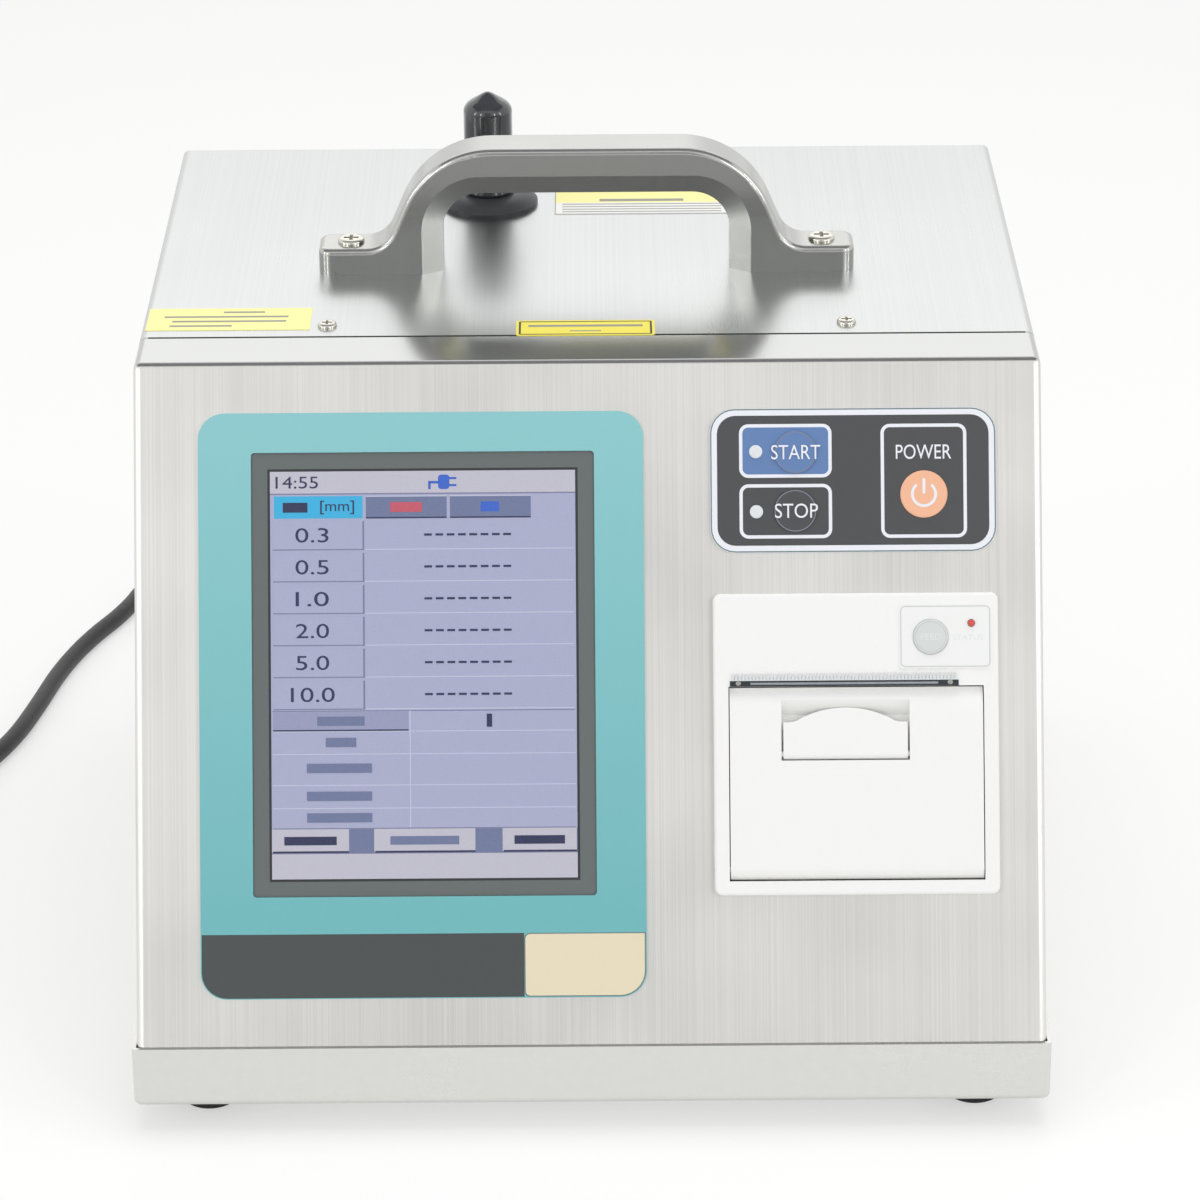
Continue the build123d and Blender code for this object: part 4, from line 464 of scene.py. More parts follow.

# %% [markdown]
# The front film is polyester printed from behind in teal, with a window for the touch screen. Its teal
# turns lighter going up the face. The strip along its foot is dark, with a beige field at the right, and
# both are left blank. Positions on the face are given in mm across from the middle and down from the top
# edge.

# %% The display film
film_teal = finish("film_teal", tone(112, 184, 188), 0.36, cell=(0.3, 0.3, 0.3), drift=0.015, bump=0.003,
                   coat=0.1, fade=(tone(140, 200, 204), 60, 190))
glass_bezel = finish("glass_bezel", tone(100, 106, 106), 0.42, cell=(0.3, 0.3, 0.3), drift=0.03, bump=0.003)
strip_ink = finish("strip_ink", tone(71, 76, 77), 0.38, cell=(0.3, 0.3, 0.3), drift=0.03, bump=0.003)
beige_ink = finish("beige_ink", tone(231, 219, 190), 0.4, cell=(0.3, 0.3, 0.3), drift=0.015, bump=0.003)
edge_ink = finish("edge_ink", tone(108, 128, 130), 0.4, cell=(0.5, 0.5, 0.5))
dress(film_teal, "display_overlay")
dress(glass_bezel, "touch_panel")
FILM_U, FILM_WIDTH, FILM_LOW, FILM_TOP = -47.3, 126.0, 179.9, 0.6
STRIP_HIGH, BEIGE_LEFT = 161.6, -18.9
EDGE_GAP, EDGE_LINE, NUDGE = 0.3, 0.6, 0.1
INK = 0.03
film_left, film_right = FILM_U - FILM_WIDTH / 2, FILM_U + FILM_WIDTH / 2
strip_width, beige_width = BEIGE_LEFT - film_left, film_right - BEIGE_LEFT
strip_height, strip_middle = FILM_LOW - STRIP_HIGH, (STRIP_HIGH + FILM_LOW) / 2 - NUDGE
strip_centre = ((film_left + BEIGE_LEFT) / 2 + EDGE_GAP / 2, strip_middle)
beige_centre = ((film_right + BEIGE_LEFT) / 2 - NUDGE, strip_middle)
plate("strip_field", strip_centre, (strip_width - EDGE_GAP, strip_height - EDGE_GAP),
      (0.05, 0.05, 7.2, 0.05), FILM_TOP, FILM_TOP + INK, strip_ink)
plate("beige_edge", beige_centre, (beige_width - EDGE_GAP, strip_height - EDGE_GAP),
      (0.05, 1.6, 1.6, 7.2), FILM_TOP, FILM_TOP + INK, edge_ink)
plate("beige_field", beige_centre, (beige_width - EDGE_GAP - EDGE_LINE, strip_height - EDGE_GAP - EDGE_LINE),
      (0.05, 1.4, 1.4, 6.9), FILM_TOP + INK, FILM_TOP + 0.05, beige_ink)
print("film dressed")

# %% [markdown]
# The screen is a colour panel lit from behind, seen through a matt touch glass. What it shows is a table
# of particle sizes with no counts yet, in plain figures and dashes. Words in it are plain bars.

# %% The screen
SCREEN_U, SCREEN_WIDTH = -46.8, 86.4
SCREEN_HIGH, SCREEN_LOW = 30.8, 146.1
STATUS_LOW, FOOT_HIGH = 37.0, 139.0
HEAD_HIGH, HEAD_LOW = 37.8, 44.1
HEAD_BAR_HIGH, HEAD_BAR_LOW = 39.6, 42.4
HEAD_FIELDS, HEAD_WIDTH = (-62.9, -39.1), 22.9
PANEL_TOP, LAYER, RIM = 0.2, 0.02, 0.7
screen_back = finish("screen_back", tone(170, 173, 202), 0.3, cell=(0.3, 0.3, 0.3), drift=0.02)
screen_edge = finish("screen_edge", tone(46, 48, 52), 0.4, cell=(0.5, 0.5, 0.5))
screen_bar = finish("screen_bar", tone(192, 190, 204), 0.3, cell=(0.3, 0.3, 0.3), drift=0.02)
screen_cell = finish("screen_cell", tone(152, 156, 187), 0.3, cell=(0.3, 0.3, 0.3), drift=0.02)
screen_line = finish("screen_line", tone(124, 127, 158), 0.3, cell=(0.3, 0.3, 0.3), drift=0.02)
screen_light = finish("screen_light", tone(198, 200, 222), 0.3, cell=(0.3, 0.3, 0.3), drift=0.02)
screen_cyan = finish("screen_cyan", tone(64, 176, 222), 0.3, cell=(0.3, 0.3, 0.3), drift=0.02)
screen_slate = finish("screen_slate", tone(112, 122, 156), 0.3, cell=(0.3, 0.3, 0.3), drift=0.02)
screen_ink = finish("screen_ink", tone(52, 56, 88), 0.3, cell=(0.3, 0.3, 0.3))
screen_blue = finish("screen_blue", tone(64, 104, 200), 0.3, cell=(0.3, 0.3, 0.3))
screen_red = finish("screen_red", tone(196, 92, 108), 0.3, cell=(0.3, 0.3, 0.3))
screen_left = SCREEN_U - SCREEN_WIDTH / 2
screen_right = SCREEN_U + SCREEN_WIDTH / 2


def on_screen(name, left, right_edge, high, low, layer, ink, radius=0.02):
    """A field of ink on the screen between its four edges, one layer of 0.02 mm above the last."""
    out = PANEL_TOP + LAYER * layer
    return plate(name, ((left + right_edge) / 2, (high + low) / 2), (right_edge - left, low - high), radius,
                 out, out + LAYER, ink)


on_screen("screen_rim", screen_left - RIM, screen_right + RIM, SCREEN_HIGH - RIM, SCREEN_LOW + RIM, 0,
          screen_edge)
on_screen("screen_field", screen_left, screen_right, SCREEN_HIGH, SCREEN_LOW, 1, screen_back)
on_screen("status_bar", screen_left, screen_right, SCREEN_HIGH, STATUS_LOW, 2, screen_bar)
on_screen("status_line", screen_left, screen_right, STATUS_LOW, STATUS_LOW + 0.35, 2, screen_line)
on_screen("foot_bar", screen_left, screen_right, FOOT_HIGH, SCREEN_LOW, 2, screen_bar)
on_screen("foot_line", screen_left, screen_right, FOOT_HIGH - 0.3, FOOT_HIGH, 2, screen_line)
on_screen("head_size", -88.9, -63.8, HEAD_HIGH, HEAD_LOW, 2, screen_cyan)
for head, left in zip(("head_count", "head_unit"), HEAD_FIELDS):
    on_screen(head, left, left + HEAD_WIDTH, HEAD_HIGH, HEAD_LOW, 2, screen_slate)
for index, left in enumerate(HEAD_FIELDS):
    on_screen(f"head_shade_{index}", left, left + HEAD_WIDTH, HEAD_LOW - 0.3, HEAD_LOW + 0.1, 3, screen_ink)
    on_screen(f"head_shine_{index}", left, left + HEAD_WIDTH, HEAD_HIGH, HEAD_HIGH + 0.25, 3, screen_light)
for head, left, right_edge, ink in (("head_count_bar", -56.0, -47.0, screen_red),
                                    ("head_unit_bar", -30.4, -25.2, screen_blue),
                                    ("head_size_bar", -86.4, -79.4, screen_ink)):
    on_screen(head, left, right_edge, HEAD_BAR_HIGH, HEAD_BAR_LOW, 3, ink)
lettering("size_unit", "[mm]", (-71.0, 41.0), 3.9, 9.6, PANEL_TOP + 0.07, PANEL_TOP + 0.09, screen_ink)
lettering("clock", "14:55", (-82.4, 33.9), 3.4, 12.0, PANEL_TOP + 0.07, PANEL_TOP + 0.09, screen_ink)
print("screen laid out")

# %% [markdown]
# A counter lists one row for each particle size. Every row has a cell with its size, a darker edge on two
# sides so that it looks raised, a light rule, and dashes where the count would stand. One loop makes all
# the rows, because only the size and the place differ.

# %% Rows of the table
ROW_SIZES = ("0.3", "0.5", "1.0", "2.0", "5.0", "10.0")
ROW_HIGH, ROW_PITCH, ROW_HEIGHT = 44.9, 9.03, 7.9
CELL_LEFT, CELL_RIGHT, CELL_MIDDLE = -89.3, -63.9, -78.2
DIGIT_HEIGHT, SHORT_WIDTH, LONG_WIDTH = 4.1, 9.4, 12.4
DASHES, DASH_START, DASH_PITCH, DASH_SIZE = 8, -45.35, 3.2, (2.2, 0.62)
dash_outline = rounded(*DASH_SIZE, 0.02, steps=2)
for index, size_text in enumerate(ROW_SIZES):
    high = ROW_HIGH + ROW_PITCH * index
    low, middle = high + ROW_HEIGHT, high + ROW_HEIGHT / 2
    on_screen(f"row_shade_{index}", CELL_LEFT, CELL_RIGHT + 0.5, high, low + 0.3, 2, screen_line)
    on_screen(f"row_cell_{index}", CELL_LEFT, CELL_RIGHT, high, low, 3, screen_back)
    on_screen(f"row_rule_{index}", CELL_RIGHT + 0.7, screen_right - 0.6, low, low + 0.25, 2, screen_light)
    width = SHORT_WIDTH if len(size_text) == 3 else LONG_WIDTH
    lettering(f"row_size_{index}", size_text, (CELL_MIDDLE, middle), DIGIT_HEIGHT, width, PANEL_TOP + 0.08,
              PANEL_TOP + 0.1, screen_ink)
    for dash in range(DASHES):
        dash_u, dash_s = DASH_START + dash * DASH_PITCH + dash_outline[:, 0], middle - dash_outline[:, 1]
        loft(f"row_dash_{index}_{dash}", [on_face(dash_u, dash_s, PANEL_TOP + 0.06),
                                          on_face(dash_u, dash_s, PANEL_TOP + 0.09)], screen_ink)
print(len(ROW_SIZES), "rows of sizes")

# %% [markdown]
# Below the sizes is a second table, with plain bars for its words, and three touch fields along the foot.
# Each touch field is a pale plate with a dark lower edge, which is how drawn buttons are made to stand out.

# %% Lower table and touch fields
TABLE_LINES = (98.5, 104.3, 110.7, 119.5, 126.0, 131.7)
TABLE_WORDS = ((-77.0, -63.6, 101.5), (-74.6, -66.0, 107.5), (-80.0, -61.6, 114.8), (-80.0, -61.6, 122.7),
               (-80.0, -61.6, 128.8))
TOUCH_FIELDS = ((-90.0, -68.2), (-61.1, -32.5), (-24.8, -3.8))
LABEL_LEFT, LABEL_RIGHT = -89.5, -51.2
TOUCH_HIGH, TOUCH_LOW = 132.0, 138.7
WORD_HALF, WORD_SHARE = 1.3, 0.34
for index, line_s in enumerate(TABLE_LINES):
    on_screen(f"table_rule_{index}", screen_left + 0.4, screen_right - 0.4, line_s, line_s + 0.25, 2,
              screen_line if index in (0, 5) else screen_light)
on_screen("table_split", -50.9, -50.6, 98.6, 131.6, 3, screen_light)
on_screen("label_field", LABEL_LEFT, LABEL_RIGHT, 98.9, 104.2, 3, screen_cell)
on_screen("label_shade", LABEL_LEFT, LABEL_RIGHT, 103.9, 104.3, 4, screen_ink)
for index, (left, right_edge, line_s) in enumerate(TABLE_WORDS):
    on_screen(f"table_word_{index}", left, right_edge, line_s - WORD_HALF, line_s + WORD_HALF, 5,
              screen_slate)
lettering("table_one", "1", (-28.3, 101.5), 3.7, 1.5, PANEL_TOP + 0.08, PANEL_TOP + 0.1, screen_ink)
on_screen("touch_back", screen_left, screen_right, TOUCH_HIGH, TOUCH_LOW, 2, screen_slate)
for index, (left, right_edge) in enumerate(TOUCH_FIELDS):
    on_screen(f"touch_field_{index}", left, right_edge, TOUCH_HIGH, TOUCH_LOW - 0.2, 3, screen_bar)
    on_screen(f"touch_shade_{index}", left + 0.3, right_edge, TOUCH_LOW - 0.5, TOUCH_LOW, 4, screen_ink)
    middle_u, half = (left + right_edge) / 2, (right_edge - left) * WORD_SHARE
    on_screen(f"touch_word_{index}", middle_u - half, middle_u + half, 134.1, 136.5, 5,
              screen_ink if index != 1 else screen_slate)
print("lower table laid out")

# %% [markdown]
# A small plug stands in the status bar: it says that mains power is on. It is a rounded body, two pins
# and a bent lead, each a plain plate.

# %% Power sign on the screen
PLUG_PARTS = (("plug_body", -42.4, -39.2, 31.9, 36.0, 0.9), ("plug_pin_high", -39.3, -37.2, 32.6, 33.2, 0.02),
              ("plug_pin_low", -39.3, -37.2, 34.6, 35.2, 0.02), ("plug_lead", -45.0, -42.3, 33.7, 34.4, 0.02),
              ("plug_lead_end", -45.2, -44.5, 33.7, 36.0, 0.02))
for name, left, right_edge, high, low, corner in PLUG_PARTS:
    on_screen(name, left, right_edge, high, low, 4, screen_blue, radius=corner)
print("power sign of", len(PLUG_PARTS), "plates")

# %% [markdown]
# The keypad is a membrane. A pale border runs round a dark field, and white lines box in the keys, which
# stand 0.5 mm proud as round discs. A field and its line are a plate and a frame in thin layers, so that
# the print needs no image.

# %% Keypad
PAD_U, PAD_S, PAD_TOP = 75.05, 34.3, 1.0
BOX_LINE, BOX_RADIUS, BOX_GAP = 0.95, 2.6, 1.6
pad_white = finish("pad_white", tone(236, 238, 245), 0.4, cell=(0.3, 0.3, 0.3), drift=0.015, bump=0.003)
pad_dark = finish("pad_dark", tone(74, 75, 78), 0.42, cell=(0.25, 0.25, 0.25), drift=0.03, bump=0.006)
pad_blue = finish("pad_blue", tone(98, 130, 180), 0.4, cell=(0.25, 0.25, 0.25), drift=0.03, bump=0.006)
pad_orange = finish("pad_orange", tone(244, 186, 152), 0.36, cell=(0.25, 0.25, 0.25), drift=0.02, bump=0.004)
lamp_pale = finish("lamp_pale", tone(226, 230, 232), 0.25, cell=(0.5, 0.5, 0.5), drift=0.02, coat=0.5)
key_ring = finish("key_ring", tone(128, 134, 146), 0.3, cell=(0.5, 0.5, 0.5), drift=0.02)
dress(pad_white, "keypad_overlay")
dress(pad_blue, "start_button")
dress(pad_dark, "stop_button")
dress(pad_orange, "power_button")
dress(lamp_pale, "key_lamps")
border("pad_edge", (PAD_U, PAD_S), (80.7, 40.6), 6.9, 0.35, PAD_TOP - 0.01, PAD_TOP + 0.02, edge_ink)
plate("pad_field", (PAD_U, PAD_S), (76.9, 36.8), 5.2, PAD_TOP, PAD_TOP + INK, pad_dark)
BOXES = {"start": (-19.1, 8.4, 26.2, 15.2), "stop": (-19.1, -8.7, 26.2, 15.4),
         "power": (20.0, -0.3, 24.3, 32.3)}
for key, (du, dv, width, height) in BOXES.items():
    centre = (PAD_U + du, PAD_S - dv)
    if key == "start":
        plate("start_field", centre, (width - BOX_GAP, height - BOX_GAP), 1.7, PAD_TOP + INK, PAD_TOP + 0.05,
              pad_blue)
    border(f"{key}_line", centre, (width, height), BOX_RADIUS, BOX_LINE, PAD_TOP + INK, PAD_TOP + 0.07,
           pad_white)
print("keypad boxes", sorted(BOXES))

# %% [markdown]
# A thin ring marks the edge of the START and STOP keys. Their words are wider than the discs, so they lie a
# little above them, and their ends stay clear of the film when the key goes down. The sign on the power key
# is a flat section swept along an open ring, with a bar in its gap.

# %% Key rings and words
KEY_RADIUS, KEY_TOP = 6.05, 1.5
WORD_BASE, WORD_HEIGHT = KEY_TOP + 0.16, 4.1
RING_INSET, RING_LINE = 0.15, 0.28
KEY_WORDS = (("start", "START", -16.3, 8.0, 0.1, 13.9), ("stop", "STOP", -16.4, -8.6, 0.3, 12.2))
POWER_DU, POWER_DS, POWER_WORD_DS = 20.0, 4.1, -7.9
SIGN_RADIUS, SIGN_LINE, SIGN_BAR, SIGN_OPENING = 3.3, 0.8, 4.4, 38
for key, word, du, dv, shift, width in KEY_WORDS:
    key_u, key_s = PAD_U + du, PAD_S - dv
    ring_size = 2 * (KEY_RADIUS - RING_INSET)
    border(f"{key}_ring", (key_u, key_s), (ring_size, ring_size), ring_size / 2 - 0.01, RING_LINE,
           KEY_TOP - 0.01, KEY_TOP + 0.02, key_ring, body=f"{key}_key")
    lettering(f"{key}_word", word, (key_u + shift, key_s), WORD_HEIGHT, width, WORD_BASE, WORD_BASE + INK,
              pad_white, body=f"{key}_key")
power_u, power_s = PAD_U + POWER_DU, PAD_S + POWER_DS
lettering("power_word", "POWER", (power_u, PAD_S + POWER_WORD_DS), WORD_HEIGHT, 15.7, PAD_TOP + INK,
          PAD_TOP + 2 * INK, pad_white)
sweep = np.linspace(np.radians(SIGN_OPENING), np.radians(360 - SIGN_OPENING), 40)
section = np.array([(-1, 0), (1, 0), (1, 1), (-1, 1)]) * (SIGN_LINE / 2, INK)
sign_rings = [[on_face(power_u + (SIGN_RADIUS + d) * np.sin(a), power_s - (SIGN_RADIUS + d) * np.cos(a),
                       KEY_TOP + w) for d, w in section] for a in sweep]
loft("power_sign_ring", sign_rings, pad_white, body="power_key")
plate("power_sign_bar", (power_u, power_s - 2.3), (SIGN_LINE, SIGN_BAR), 0.3, KEY_TOP, KEY_TOP + INK,
      pad_white, body="power_key")
print("keys printed")

# %% [markdown]
# The printer's tear bar is a thin plate with small teeth. A dark band lies along it with a bright steel
# line and two small screw heads. The feed key has a pale label, a thin ring and its word. How far the label
# and the key stand out is read from their own vertices, so that the print lies right on them.

# %% Printer details
blade_steel = finish("blade_steel", tone(176, 184, 190), 0.35, 1.0, cell=(0.2, 6, 6), drift=0.04, bump=0.002)
blade_pale = finish("blade_pale", tone(222, 226, 228), 0.5, 0.2, cell=(0.4, 0.4, 0.4), drift=0.03, bump=0.002)
blade_dark = finish("blade_dark", tone(48, 52, 56), 0.4, 0.2, cell=(0.4, 0.4, 0.4), bump=0.004)
feed_grey = finish("feed_grey", tone(214, 218, 217), 0.4, cell=(0.3, 0.3, 0.3), drift=0.015, bump=0.003)
feed_film = finish("feed_film", tone(242, 242, 242), 0.4, cell=(0.3, 0.3, 0.3), drift=0.01, bump=0.003)
feed_line = finish("feed_line", tone(204, 207, 209), 0.4, cell=(0.5, 0.5, 0.5))
feed_word = finish("feed_word", tone(228, 231, 231), 0.4, cell=(0.5, 0.5, 0.5))
lamp_red = finish("lamp_red", tone(214, 60, 48), 0.15, cell=(0.5, 0.5, 0.5), coat=0.8)
dress(blade_pale, "tear_bar")
dress(feed_grey, "feed_button")
dress(feed_film, "feed_label")
dress(lamp_red, "printer_lamp")
BAR_LEFT, BAR_RIGHT, BAR_TOP, BAR_S = 39.7, 104.3, 3.1, 91.75
BAND_HEIGHT, STEEL_WIDTH, STEEL_HEIGHT = 1.6, 53.0, 0.6
SCREW_INSET, SCREW_S, SCREW_SIZE = 2.6, 91.6, 1.1
bar_middle, band_top = (BAR_LEFT + BAR_RIGHT) / 2, BAR_TOP + 0.04
plate("bar_band", (bar_middle, BAR_S), (BAR_RIGHT - BAR_LEFT, BAND_HEIGHT), 0.1, BAR_TOP, band_top,
      blade_dark)
plate("bar_steel", (bar_middle, BAR_S), (STEEL_WIDTH, STEEL_HEIGHT), 0.1, band_top, band_top + INK,
      blade_steel)
for index, screw_u in enumerate((BAR_LEFT + SCREW_INSET, BAR_RIGHT - SCREW_INSET)):
    plate(f"bar_screw_{index}", (screw_u, SCREW_S), (SCREW_SIZE, SCREW_SIZE), SCREW_SIZE / 2, BAR_TOP,
          BAR_TOP + 0.25, blade_steel, edge=0.1)


def front_level(name):
    """How far a node stands out of the face in mm: its largest (z - top) sin(lean) - (y - edge) cos(lean)."""
    co = np.empty(len(nodes[name].data.vertices) * 3)
    nodes[name].data.vertices.foreach_get("co", co)
    co = co.reshape(-1, 3) / MM
    out = (co[:, 2] - CASE_TOP) * np.sin(FACE_LEAN) - (co[:, 1] - FACE_TOP_Y) * np.cos(FACE_LEAN)
    return float(out.max())


LABEL_TOP, BUTTON_TOP = front_level("feed_label"), front_level("feed_button")
FEED_U, FEED_S, FEED_SIZE = 96.5, 78.8, 9.0
border("feed_label_line", (100.65, 78.7), (25.4, 17.3), 1.4, 0.3, LABEL_TOP - 0.01, LABEL_TOP + 0.02,
       feed_line)
border("feed_ring", (FEED_U, FEED_S), (FEED_SIZE, FEED_SIZE), FEED_SIZE / 2 - 0.01, 0.35, BUTTON_TOP - 0.05,
       BUTTON_TOP + 0.01, feed_line, body="feed_key")
lettering("feed_word", "FEED", (FEED_U, FEED_S), 1.7, 5.6, BUTTON_TOP, BUTTON_TOP + 0.02, feed_word,
          body="feed_key")
lettering("status_word", "STATUS", (107.0, 79.0), 1.5, 8.6, LABEL_TOP, LABEL_TOP + 0.02, feed_word)
print("printer dressed, button top at", round(BUTTON_TOP, 2), "mm")

# %% [markdown]
# A thin dark strip lies in the joint between the lid and the folded front. Its near-black colour is painted
# shade: it stands for the shadow down in the gap.

# %% Painted shade in the lid joint
JOINT_SHADE_Y, JOINT_SHADE_WIDTH, JOINT_SHADE_LENGTH, JOINT_SHADE_LOW, JOINT_SHADE_TOP = -29.49, 0.95, 252.0, -0.9, 0.04
# Painted shade: this dark strip stands for the shadow in the gap between the lid and the front.
joint_shade_dark = finish("joint_shade_dark", tone(30, 31, 33), 0.8, cell=(0.4, 0.4, 0.4), bump=0.01)
plate("lid_joint_shade", (0.0, -JOINT_SHADE_Y), (JOINT_SHADE_LENGTH, JOINT_SHADE_WIDTH), 0.05, JOINT_SHADE_LOW, JOINT_SHADE_TOP, joint_shade_dark,
      place=on_top)
print("seal of", JOINT_SHADE_LENGTH, "mm laid")

# %% [markdown]
# The lid carries three labels. Two are yellow, and the one at the back is white with a yellow heading.
# Plain grey bars stand where lines of print would be.

# %% Labels on the lid
label_yellow = finish("label_yellow", tone(247, 241, 160), 0.45, cell=(0.4, 0.4, 0.4), drift=0.02)
label_bright = finish("label_bright", tone(240, 226, 80), 0.4, cell=(0.4, 0.4, 0.4), drift=0.02)
label_white = finish("label_white", tone(238, 238, 236), 0.45, cell=(0.4, 0.4, 0.4), drift=0.015)
label_ink = finish("label_ink", tone(62, 62, 58), 0.5, cell=(0.4, 0.4, 0.4))
label_grey = finish("label_grey", tone(150, 150, 140), 0.5, cell=(0.4, 0.4, 0.4))
LABEL_THICK, PRINT, HEAD_PRINT = 0.12, 0.13, 0.14
SIDE_U, SIDE_FORWARD = -103.6, 15.3
FRONT_U, FRONT_FORWARD = -0.4, 24.0
REAR_U, REAR_FORWARD = 17.1, -83.3
SIDE_BARS = ((4.0, 12.0), (-1.0, 36.0), (0.0, 33.0), (-8.0, 18.0))


def label_bar(name, centre, size, radius=0.1, low=LABEL_THICK, high=PRINT, finish=label_grey):
    """A plain bar of print on a label on the lid."""
    return plate(name, centre, size, radius, low, high, finish, place=on_top)


label_bar("side_label", (SIDE_U, SIDE_FORWARD), (47.4, 17.4), 0.3, 0.0, LABEL_THICK, label_yellow)
for index, (du, width) in enumerate(SIDE_BARS):
    label_bar(f"side_label_bar_{index}", (SIDE_U + du, SIDE_FORWARD - 5.5 + 3.6 * index), (width, 1.3))
label_bar("front_label", (FRONT_U, FRONT_FORWARD), (40.0, 12.0), 1.0, 0.0, LABEL_THICK, label_bright)
border("front_label_line", (FRONT_U, FRONT_FORWARD), (38.4, 10.4), 0.6, 0.6, LABEL_THICK, PRINT, label_ink,
       place=on_top)
label_bar("front_label_bar_0", (FRONT_U, FRONT_FORWARD - 1.6), (33.0, 1.6))
label_bar("front_label_bar_1", (FRONT_U, FRONT_FORWARD + 2.4), (9.0, 0.8))
label_bar("rear_label", (REAR_U, REAR_FORWARD), (53.8, 23.5), 0.3, 0.0, LABEL_THICK, label_white)
border("rear_label_line", (REAR_U, REAR_FORWARD), (53.6, 23.3), 0.3, 0.3, LABEL_THICK, PRINT, label_grey,
       place=on_top)
label_bar("rear_label_head", (REAR_U, REAR_FORWARD - 4.9), (53.0, 12.9), 0.2, finish=label_yellow)
label_bar("rear_label_title", (REAR_U, REAR_FORWARD - 0.6), (26.0, 2.2), 0.2, PRINT, HEAD_PRINT)
for index in range(4):
    label_bar(f"rear_label_bar_{index}", (REAR_U, REAR_FORWARD + 2.9 + 2.25 * index), (49.0, 0.8))
print("labels laid on the lid")

# %% [markdown]
# The studio is a pale table under a white sky of light. A large soft lamp hangs overhead, and a long one
# behind the case shines off the lid. White shows to the camera and in the metal, while the part itself is
# lit at a plain level. Bright metal shows what stands round it, so four upright strip lamps at the sides
# draw bright lines on its edges, and three grey cards, seen only in reflections, give it darker tones.

# %% Studio
def studio_card(name, corners, material):
    """A flat card through four corners, given in metres."""
    mesh = bpy.data.meshes.new(name)
    mesh.from_pydata([tuple(c) for c in corners], [], [(0, 1, 2, 3)])
    mesh.materials.append(material)
    card = bpy.data.objects.new(name, mesh)
    bpy.context.scene.collection.objects.link(card)
    return card


def seen_directly(tree):
    """A socket that is 1 for camera, glossy and transmission rays and 0 for the rest: their maximum."""
    rays = tree.nodes.new("ShaderNodeLightPath")
    value = rays.outputs["Is Camera Ray"]
    for kind in ("Is Glossy Ray", "Is Transmission Ray"):
        most = tree.nodes.new("ShaderNodeMath")
        most.operation = "MAXIMUM"
        tree.links.new(value, most.inputs[0])
        tree.links.new(rays.outputs[kind], most.inputs[1])
        value = most.outputs["Value"]
    return value


def floor_finish(name, colour, glow):
    """Diffuse pale floor. For the rays that see it directly it is mixed with white, by the share glow."""
    material = bpy.data.materials.new(name)
    material.use_nodes = True
    tree = material.node_tree
    tree.nodes.clear()
    add, link = tree.nodes.new, tree.links.new
    diffuse, white, mix = add("ShaderNodeBsdfDiffuse"), add("ShaderNodeEmission"), add("ShaderNodeMixShader")
    diffuse.inputs["Color"].default_value = colour
    share = add("ShaderNodeMath")
    share.operation = "MULTIPLY"
    share.inputs[1].default_value = glow
    link(seen_directly(tree), share.inputs[0])
    link(share.outputs["Value"], mix.inputs["Fac"])
    link(diffuse.outputs["BSDF"], mix.inputs[1])
    link(white.outputs["Emission"], mix.inputs[2])
    link(mix.outputs["Shader"], add("ShaderNodeOutputMaterial").inputs["Surface"])
    return material


def soft_lamp(name, place, target, size, power, shown=True):
    """A rectangular area lamp in metres that faces its target; power is radiance x area x pi. It is never
    seen by the camera, and shown says whether reflections show it."""
    data = bpy.data.lights.new(name, "AREA")
    data.shape, data.energy = "RECTANGLE", power
    data.size, data.size_y = size
    lamp = bpy.data.objects.new(name, data)
    bpy.context.scene.collection.objects.link(lamp)
    lamp.location = place
    lamp.rotation_euler = (Vector(place) - Vector(target)).to_track_quat("Z", "Y").to_euler()
    lamp.visible_camera = False
    lamp.visible_glossy = shown
    return lamp


FLOOR, FLOOR_GLOW = 6.0, 0.5
SKY_LIGHT = 0.62
CARD_LIFT, CARD_HEIGHT, CARD_FRONT_Y = 0.002, 1.7, -2.6
TUBE_HEIGHT, TUBE_TARGET, TUBE_SIZE, TUBE_POWER = 0.9, (-0.03, 0.0, 0.15), (0.09, 1.0), 3.2
floor_white = floor_finish("floor_white", tone(251, 251, 250), FLOOR_GLOW)
studio_card("studio_floor", [(-FLOOR, -FLOOR, 0), (FLOOR, -FLOOR, 0), (FLOOR, FLOOR, 0), (-FLOOR, FLOOR, 0)],
            floor_white)
card_grey = finish("card_grey", tone(178, 178, 178), 0.9, cell=(60, 60, 60))
card_deep = finish("card_deep", tone(168, 168, 170), 0.9, cell=(60, 60, 60))
card_pale = finish("card_pale", tone(214, 215, 218), 0.9, cell=(60, 60, 60))
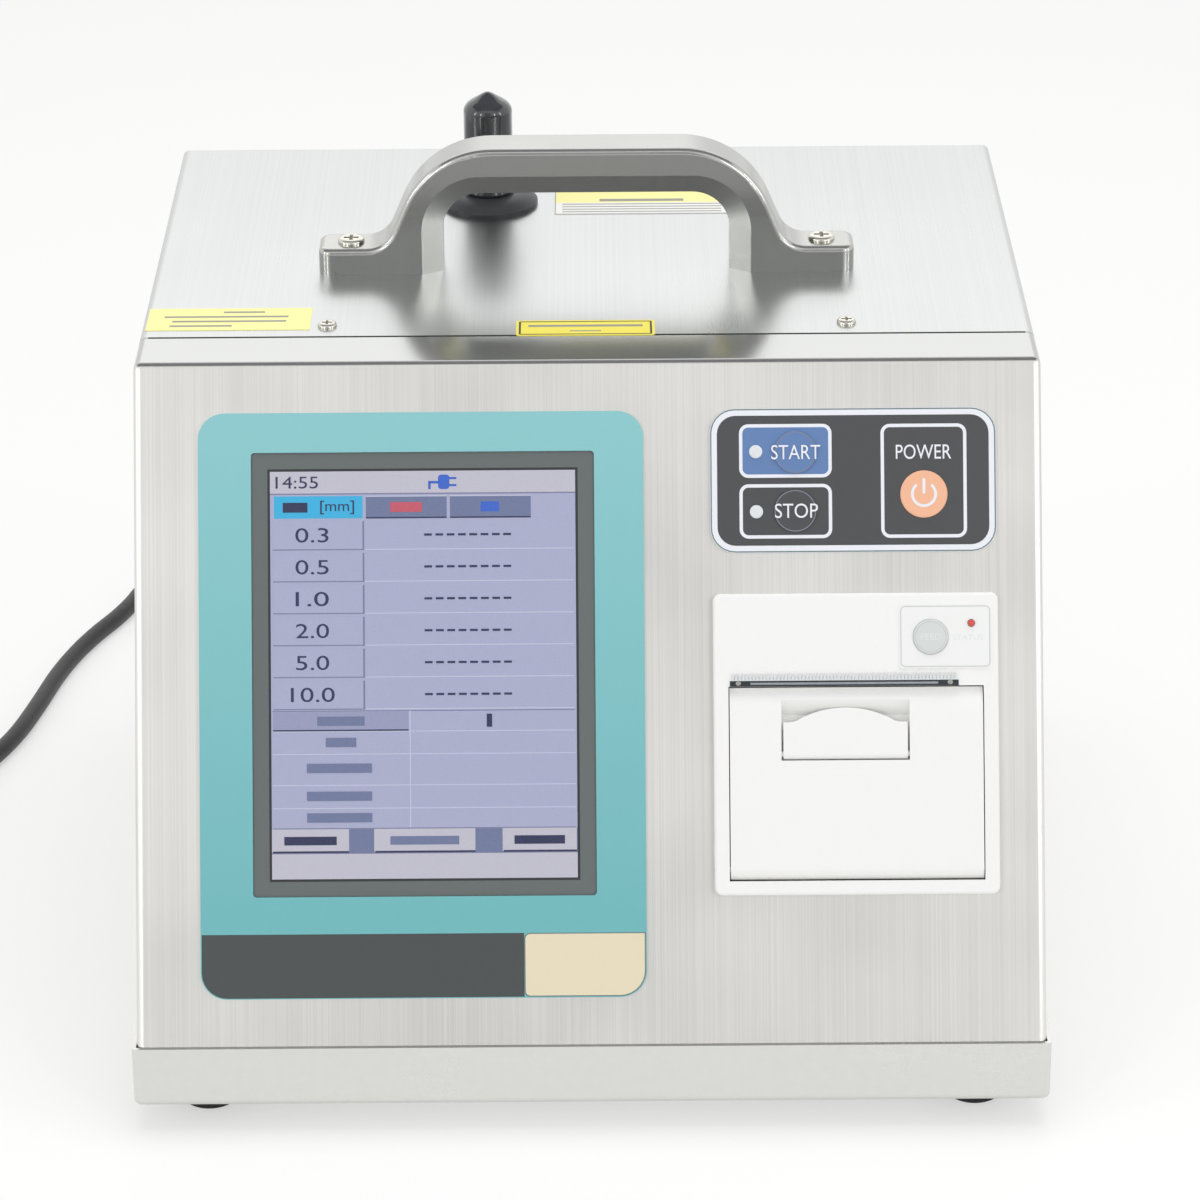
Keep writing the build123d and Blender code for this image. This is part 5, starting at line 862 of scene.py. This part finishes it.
card_low = studio_card("card_low", [(-1.6, -1.9, CARD_LIFT), (1.6, -1.9, CARD_LIFT), (1.6, -0.42, CARD_LIFT),
                                    (-1.6, -0.42, CARD_LIFT)], card_grey)
card_high = studio_card("card_high", [(-1.5, -0.7, CARD_HEIGHT), (1.5, -0.7, CARD_HEIGHT),
                                      (1.5, 1.0, CARD_HEIGHT), (-1.5, 1.0, CARD_HEIGHT)], card_deep)
card_front = studio_card("card_front", [(-0.65, CARD_FRONT_Y, 0.4), (0.65, CARD_FRONT_Y, 0.4),
                                        (0.65, CARD_FRONT_Y, 2.6), (-0.65, CARD_FRONT_Y, 2.6)], card_pale)
for card in (card_low, card_high, card_front):
    card.visible_camera = card.visible_diffuse = card.visible_shadow = card.visible_transmission = False
world = bpy.data.worlds.new("studio_sky")
bpy.context.scene.world = world
world.use_nodes = True
sky = world.node_tree
sky.nodes.clear()
lit, seen = sky.nodes.new("ShaderNodeBackground"), sky.nodes.new("ShaderNodeBackground")
sky_mix = sky.nodes.new("ShaderNodeMixShader")
for slot, (background, strength) in enumerate(((lit, SKY_LIGHT), (seen, 1.0)), start=1):
    background.inputs["Color"].default_value = (1, 1, 1, 1)
    background.inputs["Strength"].default_value = strength
    sky.links.new(background.outputs["Background"], sky_mix.inputs[slot])
sky.links.new(seen_directly(sky), sky_mix.inputs["Fac"])
sky.links.new(sky_mix.outputs["Shader"], sky.nodes.new("ShaderNodeOutputWorld").inputs["Surface"])
soft_lamp("overhead_lamp", (0.1, 0.1, 1.5), (0, 0, 0.1), (1.1, 1.1), 8.8, shown=False)
soft_lamp("back_lamp", (0.0, 2.6, 1.47), (0, 0, 0.2), (2.6, 0.7), 3.4)
for side in (-1, 1):
    for index, (tube_x, tube_y) in enumerate(((1.15, -1.65), (1.85, -0.85))):
        soft_lamp(f"strip_lamp_{side}_{index}", (side * tube_x, tube_y, TUBE_HEIGHT), TUBE_TARGET, TUBE_SIZE,
                  TUBE_POWER)
bpy.context.scene.view_settings.view_transform = "Standard"
print("studio lit")
